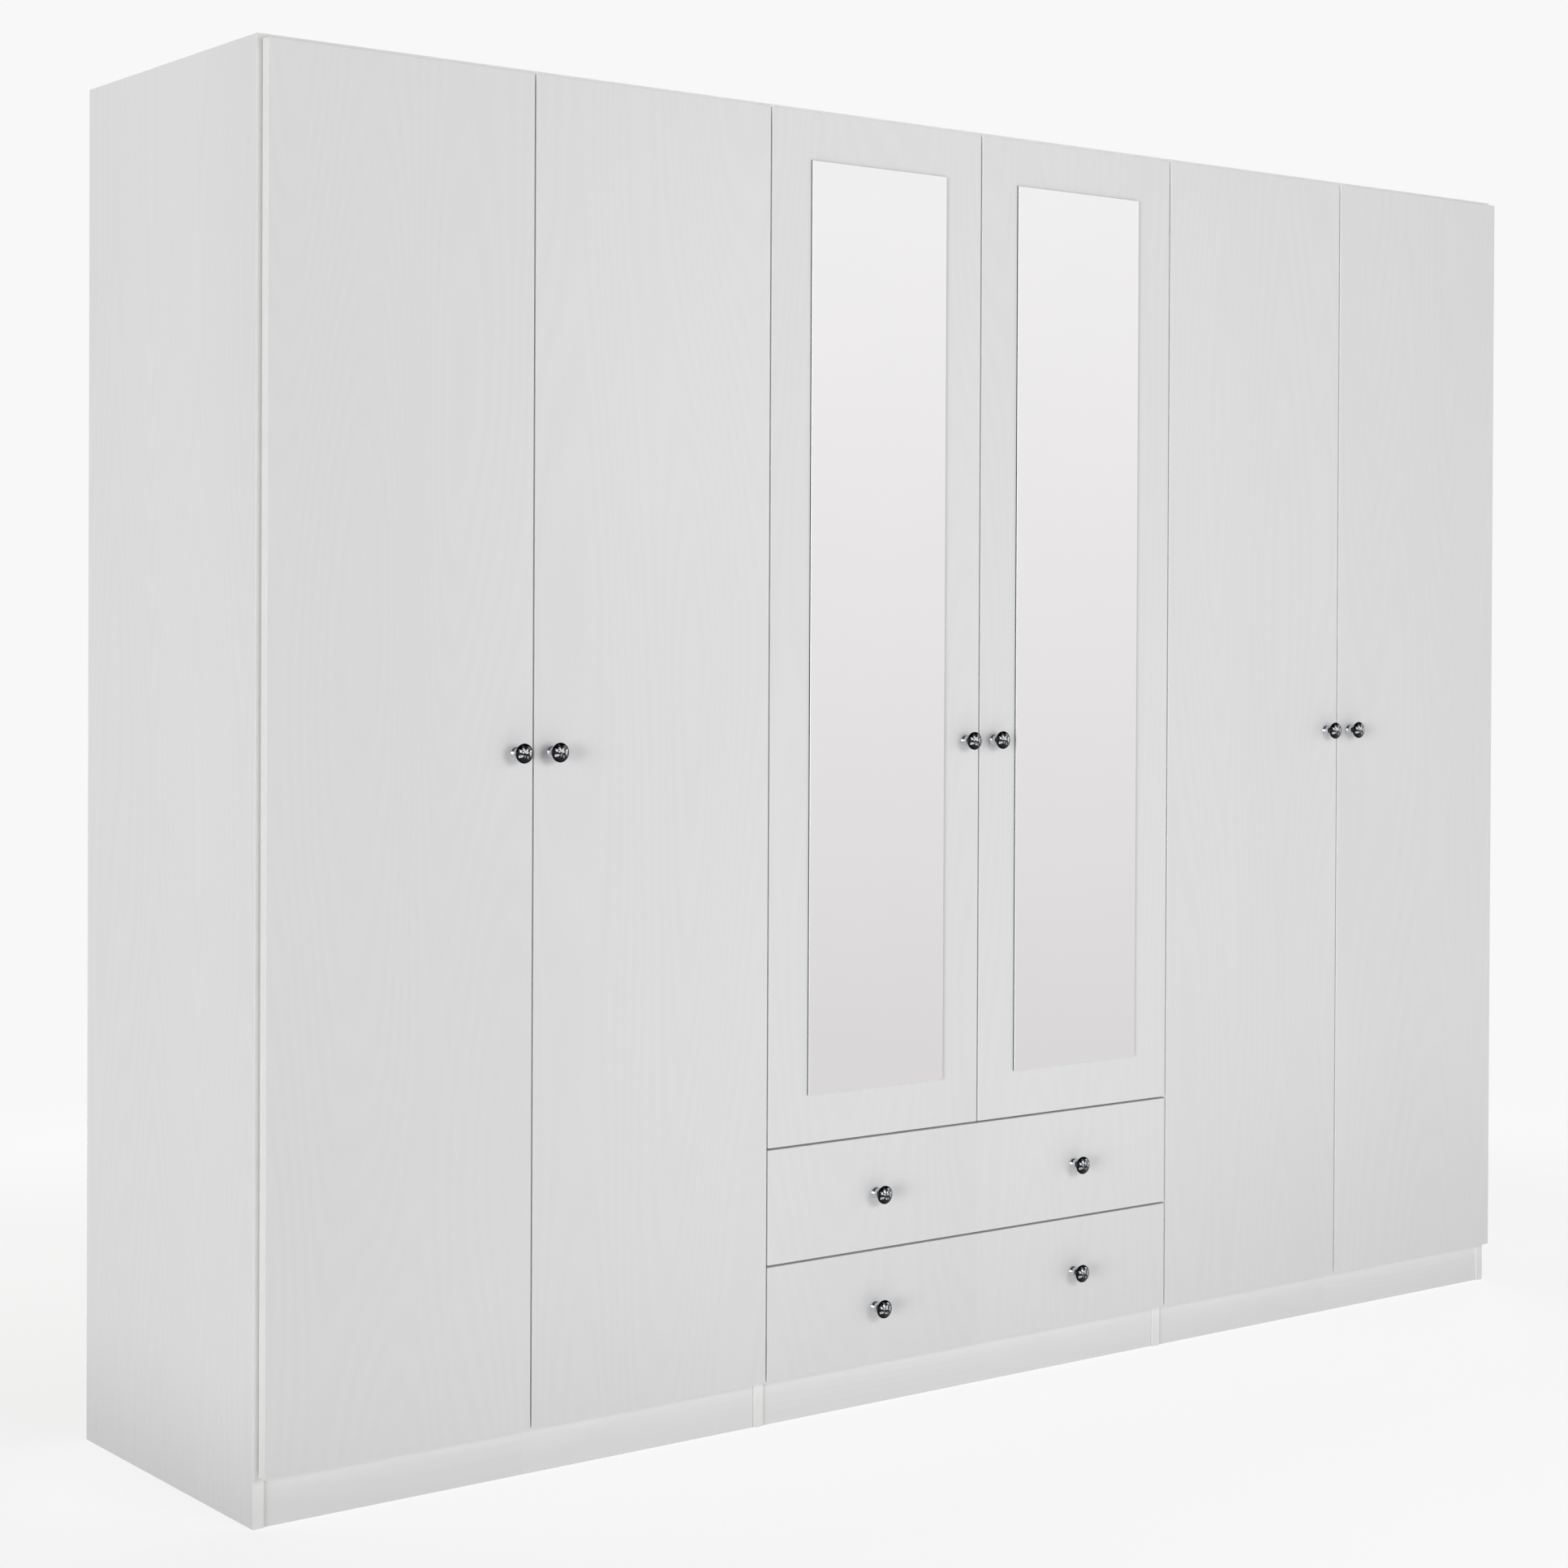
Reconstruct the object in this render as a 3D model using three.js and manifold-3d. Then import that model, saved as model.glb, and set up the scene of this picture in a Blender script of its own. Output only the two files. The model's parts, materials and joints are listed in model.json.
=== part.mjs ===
// Flat-pack wardrobe: three bays side by side, six hinged doors and two drawers.
//
// Millimetres. +X runs to the viewer's right along the front, +Y to the back, +Z up.
// The carcass is laid out with y = 0 on the front edges of its uprights and z = 0 on the
// floor. The finished group is then moved so that its origin is the middle of its
// footprint, handles included.

import * as THREE from 'three';
import { mergeVertices } from 'three/addons/utils/BufferGeometryUtils.js';
import Module from 'manifold-3d';

const wasm = await Module();
wasm.setup();

// ---------------------------------------------------------------- driving dimensions

// Boards and carcass
const BOARD = 16; // thickness of every laminated board
const BAY_WIDTH = 778; // clear width inside one bay
const HEIGHT = 1900; // height of the uprights, floor to top
const DEPTH = 510; // depth of the uprights, front edge to back edge
const PLINTH_HEIGHT = 60; // floor to the underside of the base boards
const PLINTH_SETBACK = 3; // plinth face behind the uprights' front edges
const BACK_THICKNESS = 3; // hardboard back
const BACK_INSET = 3; // back panel's edge inside the carcass outline
const BOARD_FIT = 0.2; // play where one board meets another

// Inside of the bays
const SHELF_SETBACK = 40; // shelves' front edges behind the uprights' front edges
const HAT_SPACE = 294; // clear height over the hat shelves
const CENTRE_UPPER_SPACE = 734; // clear height over the shelf in the middle bay
const RAIL_LONG_AXIS = 30; // oval hanging rail, measured upright
const RAIL_SHORT_AXIS = 15;
const RAIL_WALL = 1.2;
const RAIL_DROP = 45; // hat shelf's underside to the rail's centre line
const RAIL_END_PLAY = 1; // rail's end to the upright, inside its socket

// Doors and drawer fronts
const REVEAL = 3; // gap between neighbouring fronts
const OUTER_REVEAL = 7; // strip of carcass edge left visible round the fronts
const DOOR_GAP = 2.5; // air between the carcass and the back of a front
const DRAWER_FRONT_HEIGHT = 165;
const MIRROR_MARGIN = 70; // door's edge to the mirror glued on its face
const MIRROR_THICKNESS = 3;
const MIRROR_GLUE = 0.2; // film of adhesive behind the glass

// Concealed hinges
const CUP_RADIUS = 17.5;
const CUP_DEPTH = 11.5;
const CUP_EDGE_DISTANCE = 22; // door's hinge edge to the cup's centre
const HINGE_END_DISTANCE = 110; // door's end to the nearest hinge
const HINGE_ARM_LENGTH = 58;
const HINGE_ARM_HEIGHT = 14;
const HINGE_ARM_STANDOFF = 11; // how far the arm stands off the upright
const HINGE_PLATE_THICKNESS = 3.5;
const HINGE_PLATE_HEIGHT = 46;
const HINGE_PLATE_LENGTH = 24;
const HINGE_PLATE_SETBACK = 26; // front edge of the upright to the plate
const HINGE_ARM_CLEARANCE = 1.5; // arm's tip to the back of the closed door

// Knobs
const KNOB_PROJECTION = 27;
const KNOB_HEAD_RADIUS = 13.5;
const KNOB_BASE_RADIUS = 8;
const KNOB_NECK_RADIUS = 4.8;
const KNOB_EDGE_DISTANCE = 27; // door's free edge to the knob's centre
const KNOB_SCREW_RADIUS = 2.25;
const KNOB_SEAT = 0.2; // knob's foot to the face that it stands on

// Drawers
const DRAWER_BOARD = 12; // sides and back of the drawer box
const DRAWER_BOX_RISE = 22; // front's lower edge to the box's lower edge
const DRAWER_BOX_HEADROOM = 28; // box's upper edge to the front's upper edge
const DRAWER_BACK_SPACE = 62; // drawer box to the back panel
const DRAWER_BOTTOM_THICKNESS = 3;
const DRAWER_BOTTOM_RISE = 10; // box's lower edge to the underside of its bottom
const DRAWER_GROOVE_DEPTH = 6;
const DRAWER_GROOVE_PLAY = 0.3;
const DRAWER_FRONT_JOINT = 0.3; // box's front ends to the back of the drawer front

// Roller runners
const RUNNER_SPACE = 13; // upright to drawer box, on each side
const RUNNER_BACK_SPACE = 67; // runner's end to the back panel
const RUNNER_HEIGHT = 26;
const RUNNER_PLAY = 4; // runner to the side of the drawer box
const RUNNER_SHEET = 1.4;
const RUNNER_SETBACK = 3; // front edge of the upright to the runner
const RUNNER_DROP = 6; // box's lower edge down to the runner's

// Roundness of turned and drilled shapes
const KNOB_SEGMENTS = 16;
const CUP_SEGMENTS = 24;
const SCREW_SEGMENTS = 10;
const RAIL_SEGMENTS = 24;
const CUT_OVERRUN = 1; // how far a cutting shape runs past the face that it opens

// ---------------------------------------------------------------- worked-out sizes

const BAY_PITCH = BAY_WIDTH + BOARD;
const BAYS = ['left', 'centre', 'right'];
const UPRIGHTS = ['left_side', 'left_divider', 'right_divider', 'right_side'];
const WIDTH = 3 * BAY_WIDTH + 4 * BOARD;
const FITTED_WIDTH = BAY_WIDTH - 2 * BOARD_FIT;

const FRONT_FACE = -DOOR_GAP - BOARD; // y of the doors' outer faces
const FRONT_BACK = -DOOR_GAP; // y of the doors' inner faces
const FRONTS_LOW = PLINTH_HEIGHT + OUTER_REVEAL;
const FRONTS_HIGH = HEIGHT - OUTER_REVEAL;
const FRONTS_SIDE = WIDTH / 2 - OUTER_REVEAL;
const DRAWER_PITCH = DRAWER_FRONT_HEIGHT + REVEAL;
const CENTRE_DOORS_LOW = FRONTS_LOW + 2 * DRAWER_PITCH;
const DECK_MIDDLE = CENTRE_DOORS_LOW - REVEAL / 2;
const KNOB_LEVEL = (FRONTS_LOW + FRONTS_HIGH) / 2;
const DRAWER_BOX_WIDTH = BAY_WIDTH - 2 * RUNNER_SPACE;
const DRAWER_BOX_HEIGHT = DRAWER_FRONT_HEIGHT - DRAWER_BOX_RISE - DRAWER_BOX_HEADROOM;
const DRAWER_BOX_FRONT = FRONT_BACK + DRAWER_FRONT_JOINT;
const DRAWER_BOX_BACK = DEPTH - DRAWER_BACK_SPACE;
const RUNNER_LENGTH = DEPTH - RUNNER_SETBACK - RUNNER_BACK_SPACE;
const RUNNER_WIDTH = RUNNER_SPACE - RUNNER_PLAY;
const HAT_SHELF_TOP = HEIGHT - BOARD - HAT_SPACE;
const CENTRE_SHELF_TOP = HEIGHT - BOARD - CENTRE_UPPER_SPACE;

const bayCentre = (bay) => (bay - 1) * BAY_PITCH;
const uprightCentre = (upright) => (upright - 1.5) * BAY_PITCH;

// ---------------------------------------------------------------- materials

const white_foil = () => new THREE.MeshStandardMaterial({ color: '#dcdcdc', roughness: 0.55, metalness: 0 });
const hardboard = () => new THREE.MeshStandardMaterial({ color: '#ece9e3', roughness: 0.8, metalness: 0 });
const drawer_foil = () => new THREE.MeshStandardMaterial({ color: '#e6e5e2', roughness: 0.6, metalness: 0 });
const mirror_glass = () => new THREE.MeshStandardMaterial({ color: '#eef1f2', roughness: 0.04, metalness: 1 });
const chrome = () => new THREE.MeshStandardMaterial({ color: '#c9ccd1', roughness: 0.15, metalness: 1 });
const zinc_steel = () => new THREE.MeshStandardMaterial({ color: '#b9bbbc', roughness: 0.35, metalness: 1 });
const runner_enamel = () => new THREE.MeshStandardMaterial({ color: '#f2f2f0', roughness: 0.4, metalness: 0 });

// ---------------------------------------------------------------- shapes

const wardrobe = new THREE.Group();

function addPiece(name, geometry, material) {
  const mesh = new THREE.Mesh(geometry, material);
  mesh.name = name;
  wardrobe.add(mesh);
  return mesh;
}

// A box between two corners, each given as [x, y, z].
function boxBetween(low, high) {
  const size = high.map((value, axis) => value - low[axis]);
  const geometry = new THREE.BoxGeometry(...size);
  geometry.translate((low[0] + high[0]) / 2, (low[1] + high[1]) / 2, (low[2] + high[2]) / 2);
  return geometry;
}

// A cylinder that starts at a point and runs towards +Y.
function rodTowardsBack(radius, length, segments, start) {
  const geometry = new THREE.CylinderGeometry(radius, radius, length, segments);
  geometry.translate(start[0], start[1] + length / 2, start[2]);
  return geometry;
}

function toSolid(geometry) {
  const bare = geometry.clone();
  bare.deleteAttribute('normal');
  bare.deleteAttribute('uv');
  const welded = mergeVertices(bare);
  const vertProperties = new Float32Array(welded.attributes.position.array);
  const triVerts = new Uint32Array(welded.index.array);
  return new wasm.Manifold(new wasm.Mesh({ numProp: 3, vertProperties, triVerts }));
}

function toGeometry(solid) {
  const mesh = solid.getMesh();
  const geometry = new THREE.BufferGeometry();
  geometry.setAttribute('position', new THREE.BufferAttribute(mesh.vertProperties, 3));
  geometry.setIndex(new THREE.BufferAttribute(mesh.triVerts, 1));
  geometry.computeVertexNormals();
  return geometry;
}

function cutFrom(geometry, cutters) {
  let solid = toSolid(geometry);
  for (const cutter of cutters) {
    solid = solid.subtract(toSolid(cutter));
  }
  return toGeometry(solid);
}

function joined(geometries) {
  let solid = toSolid(geometries[0]);
  for (const geometry of geometries.slice(1)) {
    solid = solid.add(toSolid(geometry));
  }
  return toGeometry(solid);
}

// ---------------------------------------------------------------- carcass

function addUprights() {
  UPRIGHTS.forEach((name, index) => {
    const x = uprightCentre(index);
    addPiece(name, boxBetween([x - BOARD / 2, 0, 0], [x + BOARD / 2, DEPTH, HEIGHT]), white_foil());
  });
}

// A board that lies level between two uprights.
function addLevelBoard(name, bay, low, front, back) {
  const x = bayCentre(bay);
  const left = x - FITTED_WIDTH / 2;
  const right = x + FITTED_WIDTH / 2;
  addPiece(name, boxBetween([left, front, low], [right, back, low + BOARD]), white_foil());
}

function addBayBoards() {
  BAYS.forEach((side, bay) => {
    addLevelBoard(`${side}_top`, bay, HEIGHT - BOARD, 0, DEPTH);
    addLevelBoard(`${side}_base`, bay, PLINTH_HEIGHT, 0, DEPTH);
    const x = bayCentre(bay);
    const low = [x - FITTED_WIDTH / 2, PLINTH_SETBACK, 0];
    const high = [x + FITTED_WIDTH / 2, PLINTH_SETBACK + BOARD, PLINTH_HEIGHT - BOARD_FIT];
    addPiece(`${side}_plinth`, boxBetween(low, high), white_foil());
  });
}

function addShelves() {
  addLevelBoard('left_hat_shelf', 0, HAT_SHELF_TOP - BOARD, SHELF_SETBACK, DEPTH);
  addLevelBoard('centre_shelf', 1, CENTRE_SHELF_TOP - BOARD, SHELF_SETBACK, DEPTH);
  addLevelBoard('right_hat_shelf', 2, HAT_SHELF_TOP - BOARD, SHELF_SETBACK, DEPTH);
  addLevelBoard('drawer_deck', 1, DECK_MIDDLE - BOARD / 2, 0, DEPTH);
}

// One sheet of hardboard, pinned on the back edges of all four uprights.
function addBackPanel() {
  const front = DEPTH + BOARD_FIT;
  const low = [BACK_INSET - WIDTH / 2, front, PLINTH_HEIGHT];
  const high = [WIDTH / 2 - BACK_INSET, front + BACK_THICKNESS, HEIGHT - BACK_INSET];
  addPiece('back_panel', boxBetween(low, high), hardboard());
}

// ---------------------------------------------------------------- hanging rails

function ovalPath(path, longAxis, shortAxis) {
  const radius = shortAxis / 2;
  const straight = (longAxis - shortAxis) / 2;
  path.absarc(0, straight, radius, 0, Math.PI, false);
  path.absarc(0, -straight, radius, Math.PI, 2 * Math.PI, false);
  path.closePath();
  return path;
}

function railGeometry(length) {
  const outline = ovalPath(new THREE.Shape(), RAIL_LONG_AXIS, RAIL_SHORT_AXIS);
  const hollow = ovalPath(new THREE.Path(), RAIL_LONG_AXIS - 2 * RAIL_WALL, RAIL_SHORT_AXIS - 2 * RAIL_WALL);
  outline.holes.push(hollow);
  const settings = { depth: length, bevelEnabled: false, curveSegments: RAIL_SEGMENTS / 2 };
  const geometry = new THREE.ExtrudeGeometry(outline, settings);
  geometry.translate(0, 0, -length / 2);
  geometry.rotateY(Math.PI / 2);
  geometry.rotateX(Math.PI / 2);
  return geometry;
}

function addRails() {
  for (const [name, bay] of [['left_rail', 0], ['right_rail', 2]]) {
    const geometry = railGeometry(BAY_WIDTH - 2 * RAIL_END_PLAY);
    const level = HAT_SHELF_TOP - BOARD - RAIL_DROP;
    geometry.translate(bayCentre(bay), DEPTH / 2, level);
    addPiece(name, geometry, chrome());
  }
}

// ---------------------------------------------------------------- knobs

function knobGeometry() {
  const cupStart = KNOB_PROJECTION * 0.62;
  const rimStart = KNOB_PROJECTION * 0.74;
  const rimEnd = KNOB_PROJECTION * 0.84;
  const profile = [
    [0, KNOB_SEAT],
    [KNOB_BASE_RADIUS, KNOB_SEAT],
    [KNOB_BASE_RADIUS, 1.5],
    [KNOB_NECK_RADIUS, 6],
    [KNOB_NECK_RADIUS, cupStart],
    [KNOB_HEAD_RADIUS - 1, rimStart],
    [KNOB_HEAD_RADIUS, rimStart + 1],
    [KNOB_HEAD_RADIUS, rimEnd],
    [KNOB_HEAD_RADIUS - 1.5, rimEnd + 1],
    [KNOB_HEAD_RADIUS * 0.55, KNOB_PROJECTION],
    [0, KNOB_PROJECTION],
  ];
  const points = profile.map(([radius, height]) => new THREE.Vector2(radius, height));
  const geometry = new THREE.LatheGeometry(points, KNOB_SEGMENTS);
  geometry.rotateX(Math.PI); // the knob's axis turns from +Y to point out of the front, towards -Y
  return geometry;
}

function addKnob(name, x, z) {
  const knob = addPiece(name, knobGeometry(), chrome());
  knob.position.set(x, FRONT_FACE, z);
}

function knobHole(x, z) {
  const length = BOARD + 2 * CUT_OVERRUN;
  return rodTowardsBack(KNOB_SCREW_RADIUS, length, SCREW_SEGMENTS, [x, FRONT_FACE - CUT_OVERRUN, z]);
}

// ---------------------------------------------------------------- doors

// The doors from left to right. Doors 1, 3 and 5 hang on their left edge, the others on
// their right, so each pair meets in the middle of its bay.
function doorLayout(number) {
  const bay = Math.floor((number - 1) / 2);
  const hangsLeft = number % 2 === 1;
  const meeting = bayCentre(bay);
  const direction = hangsLeft ? -1 : 1;
  const dividerEdge = meeting + direction * (BAY_PITCH / 2 - REVEAL / 2);
  const isOuter = number === 1 || number === 6;
  const hingeEdge = isOuter ? direction * FRONTS_SIDE : dividerEdge;
  const freeEdge = meeting + direction * (REVEAL / 2);
  const low = bay === 1 ? CENTRE_DOORS_LOW : FRONTS_LOW;
  const uprightFace = meeting + direction * (BAY_WIDTH / 2);
  return { number, bay, hangsLeft, direction, hingeEdge, freeEdge, low, high: FRONTS_HIGH, uprightFace };
}

function hingeLevels(door) {
  return { low: door.low + HINGE_END_DISTANCE, high: door.high - HINGE_END_DISTANCE };
}

function addDoor(door) {
  const name = `door_${door.number}`;
  const left = Math.min(door.hingeEdge, door.freeEdge);
  const right = Math.max(door.hingeEdge, door.freeEdge);
  const slab = boxBetween([left, FRONT_FACE, door.low], [right, FRONT_BACK, door.high]);
  const cupCentre = door.hingeEdge - door.direction * CUP_EDGE_DISTANCE;
  const knobCentre = door.freeEdge + door.direction * KNOB_EDGE_DISTANCE;
  const cutters = [knobHole(knobCentre, KNOB_LEVEL)];
  for (const level of Object.values(hingeLevels(door))) {
    const start = [cupCentre, FRONT_BACK - CUP_DEPTH, level];
    cutters.push(rodTowardsBack(CUP_RADIUS, CUP_DEPTH + CUT_OVERRUN, CUP_SEGMENTS, start));
  }
  addPiece(name, cutFrom(slab, cutters), white_foil());
  addKnob(`${name}_knob`, knobCentre, KNOB_LEVEL);
  for (const [place, level] of Object.entries(hingeLevels(door))) {
    addHinge(`${name}_hinge_${place}`, door, level);
  }
  if (door.bay === 1) {
    addMirror(`${name}_mirror`, left, right, door.low, door.high);
  }
}

function addMirror(name, left, right, low, high) {
  const back = FRONT_FACE - MIRROR_GLUE;
  const lowCorner = [left + MIRROR_MARGIN, back - MIRROR_THICKNESS, low + MIRROR_MARGIN];
  const highCorner = [right - MIRROR_MARGIN, back, high - MIRROR_MARGIN];
  addPiece(name, boxBetween(lowCorner, highCorner), mirror_glass());
}

// The half of a concealed hinge that stays on the upright: a plate screwed to the board
// and an arm that reaches forward to the cup in the door.
function addHinge(name, door, level) {
  const face = door.uprightFace - door.direction * BOARD_FIT;
  const across = (distance) => face - door.direction * distance;
  const between = (near, far, front, back, halfHeight) => {
    const a = across(near);
    const b = across(far);
    return boxBetween(
      [Math.min(a, b), front, level - halfHeight],
      [Math.max(a, b), back, level + halfHeight],
    );
  };
  const armFront = FRONT_BACK + HINGE_ARM_CLEARANCE;
  const armBack = armFront + HINGE_ARM_LENGTH;
  const armRoot = HINGE_PLATE_THICKNESS - CUT_OVERRUN;
  const plateBack = HINGE_PLATE_SETBACK + HINGE_PLATE_LENGTH;
  const plate = between(0, HINGE_PLATE_THICKNESS, HINGE_PLATE_SETBACK, plateBack, HINGE_PLATE_HEIGHT / 2);
  const arm = between(armRoot, HINGE_ARM_STANDOFF, armFront, armBack, HINGE_ARM_HEIGHT / 2);
  addPiece(name, joined([plate, arm]), zinc_steel());
}

// ---------------------------------------------------------------- drawers and runners

function drawerBoxGeometry(boxLow) {
  const half = DRAWER_BOX_WIDTH / 2;
  const front = DRAWER_BOX_FRONT;
  const back = DRAWER_BOX_BACK;
  const wrap = new THREE.Shape();
  wrap.moveTo(-half, front);
  wrap.lineTo(-half + DRAWER_BOARD, front);
  wrap.lineTo(-half + DRAWER_BOARD, back - DRAWER_BOARD);
  wrap.lineTo(half - DRAWER_BOARD, back - DRAWER_BOARD);
  wrap.lineTo(half - DRAWER_BOARD, front);
  wrap.lineTo(half, front);
  wrap.lineTo(half, back);
  wrap.lineTo(-half, back);
  wrap.closePath();
  const geometry = new THREE.ExtrudeGeometry(wrap, { depth: DRAWER_BOX_HEIGHT, bevelEnabled: false });
  geometry.translate(0, 0, boxLow);
  return geometry;
}

// The panel that closes the drawer's underside, let into grooves, and the room cut for it.
function drawerBottomCorners(boxLow, play) {
  const reach = DRAWER_BOX_WIDTH / 2 - DRAWER_BOARD + DRAWER_GROOVE_DEPTH + play;
  const front = FRONT_BACK - DRAWER_GROOVE_DEPTH - play;
  const back = DRAWER_BOX_BACK - DRAWER_BOARD + DRAWER_GROOVE_DEPTH + play;
  const low = boxLow + DRAWER_BOTTOM_RISE - play;
  const high = boxLow + DRAWER_BOTTOM_RISE + DRAWER_BOTTOM_THICKNESS + play;
  return [[-reach, front, low], [reach, back, high]];
}

function addDrawer(name, frontLow) {
  const left = REVEAL / 2 - BAY_PITCH / 2;
  const right = -left;
  const frontHigh = frontLow + DRAWER_FRONT_HEIGHT;
  const boxLow = frontLow + DRAWER_BOX_RISE;
  const knobLevel = (frontLow + frontHigh) / 2;
  const knobOffset = (right - left) / 4;
  const groove = boxBetween(...drawerBottomCorners(boxLow, DRAWER_GROOVE_PLAY));
  const slab = boxBetween([left, FRONT_FACE, frontLow], [right, FRONT_BACK, frontHigh]);
  const holes = [knobHole(-knobOffset, knobLevel), knobHole(knobOffset, knobLevel)];
  addPiece(`${name}_front`, cutFrom(slab, [...holes, groove]), white_foil());
  addPiece(`${name}_box`, cutFrom(drawerBoxGeometry(boxLow), [groove]), drawer_foil());
  addPiece(`${name}_bottom`, boxBetween(...drawerBottomCorners(boxLow, 0)), hardboard());
  addKnob(`${name}_left_knob`, -knobOffset, knobLevel);
  addKnob(`${name}_right_knob`, knobOffset, knobLevel);
  addRunner(`${name}_left_runner`, -1, boxLow - RUNNER_DROP);
  addRunner(`${name}_right_runner`, 1, boxLow - RUNNER_DROP);
}

// The fixed half of a roller runner: a folded steel channel, open towards the drawer.
function addRunner(name, direction, low) {
  const web = RUNNER_SHEET;
  const channel = new THREE.Shape();
  channel.moveTo(0, 0);
  channel.lineTo(RUNNER_WIDTH, 0);
  channel.lineTo(RUNNER_WIDTH, web);
  channel.lineTo(web, web);
  channel.lineTo(web, RUNNER_HEIGHT - web);
  channel.lineTo(RUNNER_WIDTH, RUNNER_HEIGHT - web);
  channel.lineTo(RUNNER_WIDTH, RUNNER_HEIGHT);
  channel.lineTo(0, RUNNER_HEIGHT);
  channel.closePath();
  const geometry = new THREE.ExtrudeGeometry(channel, { depth: RUNNER_LENGTH, bevelEnabled: false });
  geometry.rotateX(Math.PI / 2); // profile stands up, length runs towards -Y
  const back = RUNNER_SETBACK + RUNNER_LENGTH;
  const wall = BAY_WIDTH / 2 - BOARD_FIT;
  if (direction > 0) {
    geometry.rotateZ(Math.PI); // opens towards -X, length runs towards +Y
    geometry.translate(wall, RUNNER_SETBACK, low);
  } else {
    geometry.translate(-wall, back, low);
  }
  addPiece(name, geometry, runner_enamel());
}

// ---------------------------------------------------------------- assembly

addUprights();
addBayBoards();
addShelves();
addBackPanel();
addRails();
for (let number = 1; number <= 6; number += 1) {
  addDoor(doorLayout(number));
}
addDrawer('lower_drawer', FRONTS_LOW);
addDrawer('upper_drawer', FRONTS_LOW + DRAWER_PITCH);

// The footprint runs from the knobs' tips to the face of the back panel.
const footprintFront = FRONT_FACE - KNOB_PROJECTION;
const footprintBack = DEPTH + BOARD_FIT + BACK_THICKNESS;
wardrobe.position.y = -(footprintFront + footprintBack) / 2;

export default wardrobe;
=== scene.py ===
# %% [markdown]
# # A white flat-pack wardrobe, dressed for its picture
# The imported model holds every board, hinge and runner at its true size. This script loads
# it as a fixed frame and then builds the surfaces that the eye reads: foil with ash grain,
# edging strips, silvered glass, chrome, and the fittings that show when a door is open.

import math

import bmesh
import bpy
from mathutils import Matrix, Vector
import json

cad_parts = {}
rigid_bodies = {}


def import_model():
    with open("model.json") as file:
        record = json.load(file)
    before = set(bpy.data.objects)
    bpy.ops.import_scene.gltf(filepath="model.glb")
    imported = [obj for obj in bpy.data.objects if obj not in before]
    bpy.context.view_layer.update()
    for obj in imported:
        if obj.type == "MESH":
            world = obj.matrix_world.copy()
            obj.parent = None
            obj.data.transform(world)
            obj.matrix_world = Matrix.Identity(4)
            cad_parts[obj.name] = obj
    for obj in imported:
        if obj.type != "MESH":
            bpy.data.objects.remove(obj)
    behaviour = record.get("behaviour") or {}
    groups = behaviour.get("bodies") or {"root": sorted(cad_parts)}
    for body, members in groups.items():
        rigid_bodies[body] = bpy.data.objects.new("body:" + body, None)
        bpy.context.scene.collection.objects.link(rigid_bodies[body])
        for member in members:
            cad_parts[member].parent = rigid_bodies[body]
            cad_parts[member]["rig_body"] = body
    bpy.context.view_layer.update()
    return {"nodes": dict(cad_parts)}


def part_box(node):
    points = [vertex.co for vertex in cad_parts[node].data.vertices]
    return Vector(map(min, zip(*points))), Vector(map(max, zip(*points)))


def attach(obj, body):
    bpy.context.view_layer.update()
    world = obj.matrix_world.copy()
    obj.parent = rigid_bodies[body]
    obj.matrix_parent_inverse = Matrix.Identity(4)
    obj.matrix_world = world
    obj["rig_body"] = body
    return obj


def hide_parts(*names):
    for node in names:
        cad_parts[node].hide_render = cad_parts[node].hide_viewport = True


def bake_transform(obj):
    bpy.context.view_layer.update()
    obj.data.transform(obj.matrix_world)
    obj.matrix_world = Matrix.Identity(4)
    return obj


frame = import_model()
MM = 0.001

# %% [markdown]
# ## Measures taken from the frame
# A piece that fits the frame should read its place from the frame. These few boxes give
# every size that the later cells need, so a changed board moves its edging with it.

# %% Measures from the frame
side_low, side_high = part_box("left_side")
door_low, door_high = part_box("door_2")
BOARD = side_high.x - side_low.x
CARCASS_FRONT = side_low.y
CARCASS_BACK = side_high.y
HEIGHT = side_high.z
FRONT_FACE = door_low.y
FRONT_BACK = door_high.y
BAY_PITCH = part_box("right_divider")[0].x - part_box("left_divider")[0].x
BAY_WIDTH = BAY_PITCH - BOARD
DOORS = [f"door_{number}" for number in range(1, 7)]
DRAWERS = ["lower_drawer", "upper_drawer"]
print(f"board {BOARD / MM:.1f} mm, bay {BAY_WIDTH / MM:.1f} mm, height {HEIGHT / MM:.0f} mm")

# %% [markdown]
# ## The camera
# A furniture catalogue shows a wardrobe from one front corner, at chest height, with a
# longish lens so that the uprights stay upright. The lens looks almost level, and the
# frame is shifted down instead of tilting the camera.

# %% Camera
CAMERA_PLACE = Vector((-2.8968, -3.5773, 1.1590))
CAMERA_TURN = math.radians(37.219)  # away from straight ahead, towards +X
CAMERA_TILT = math.radians(-0.490)
CAMERA_ROLL = math.radians(0.257)
SENSOR_MM = 36.0
LENS_MM = 66.84
FRAME_SHIFT = -0.0883
FAR_CLIP = 400  # metres

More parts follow.
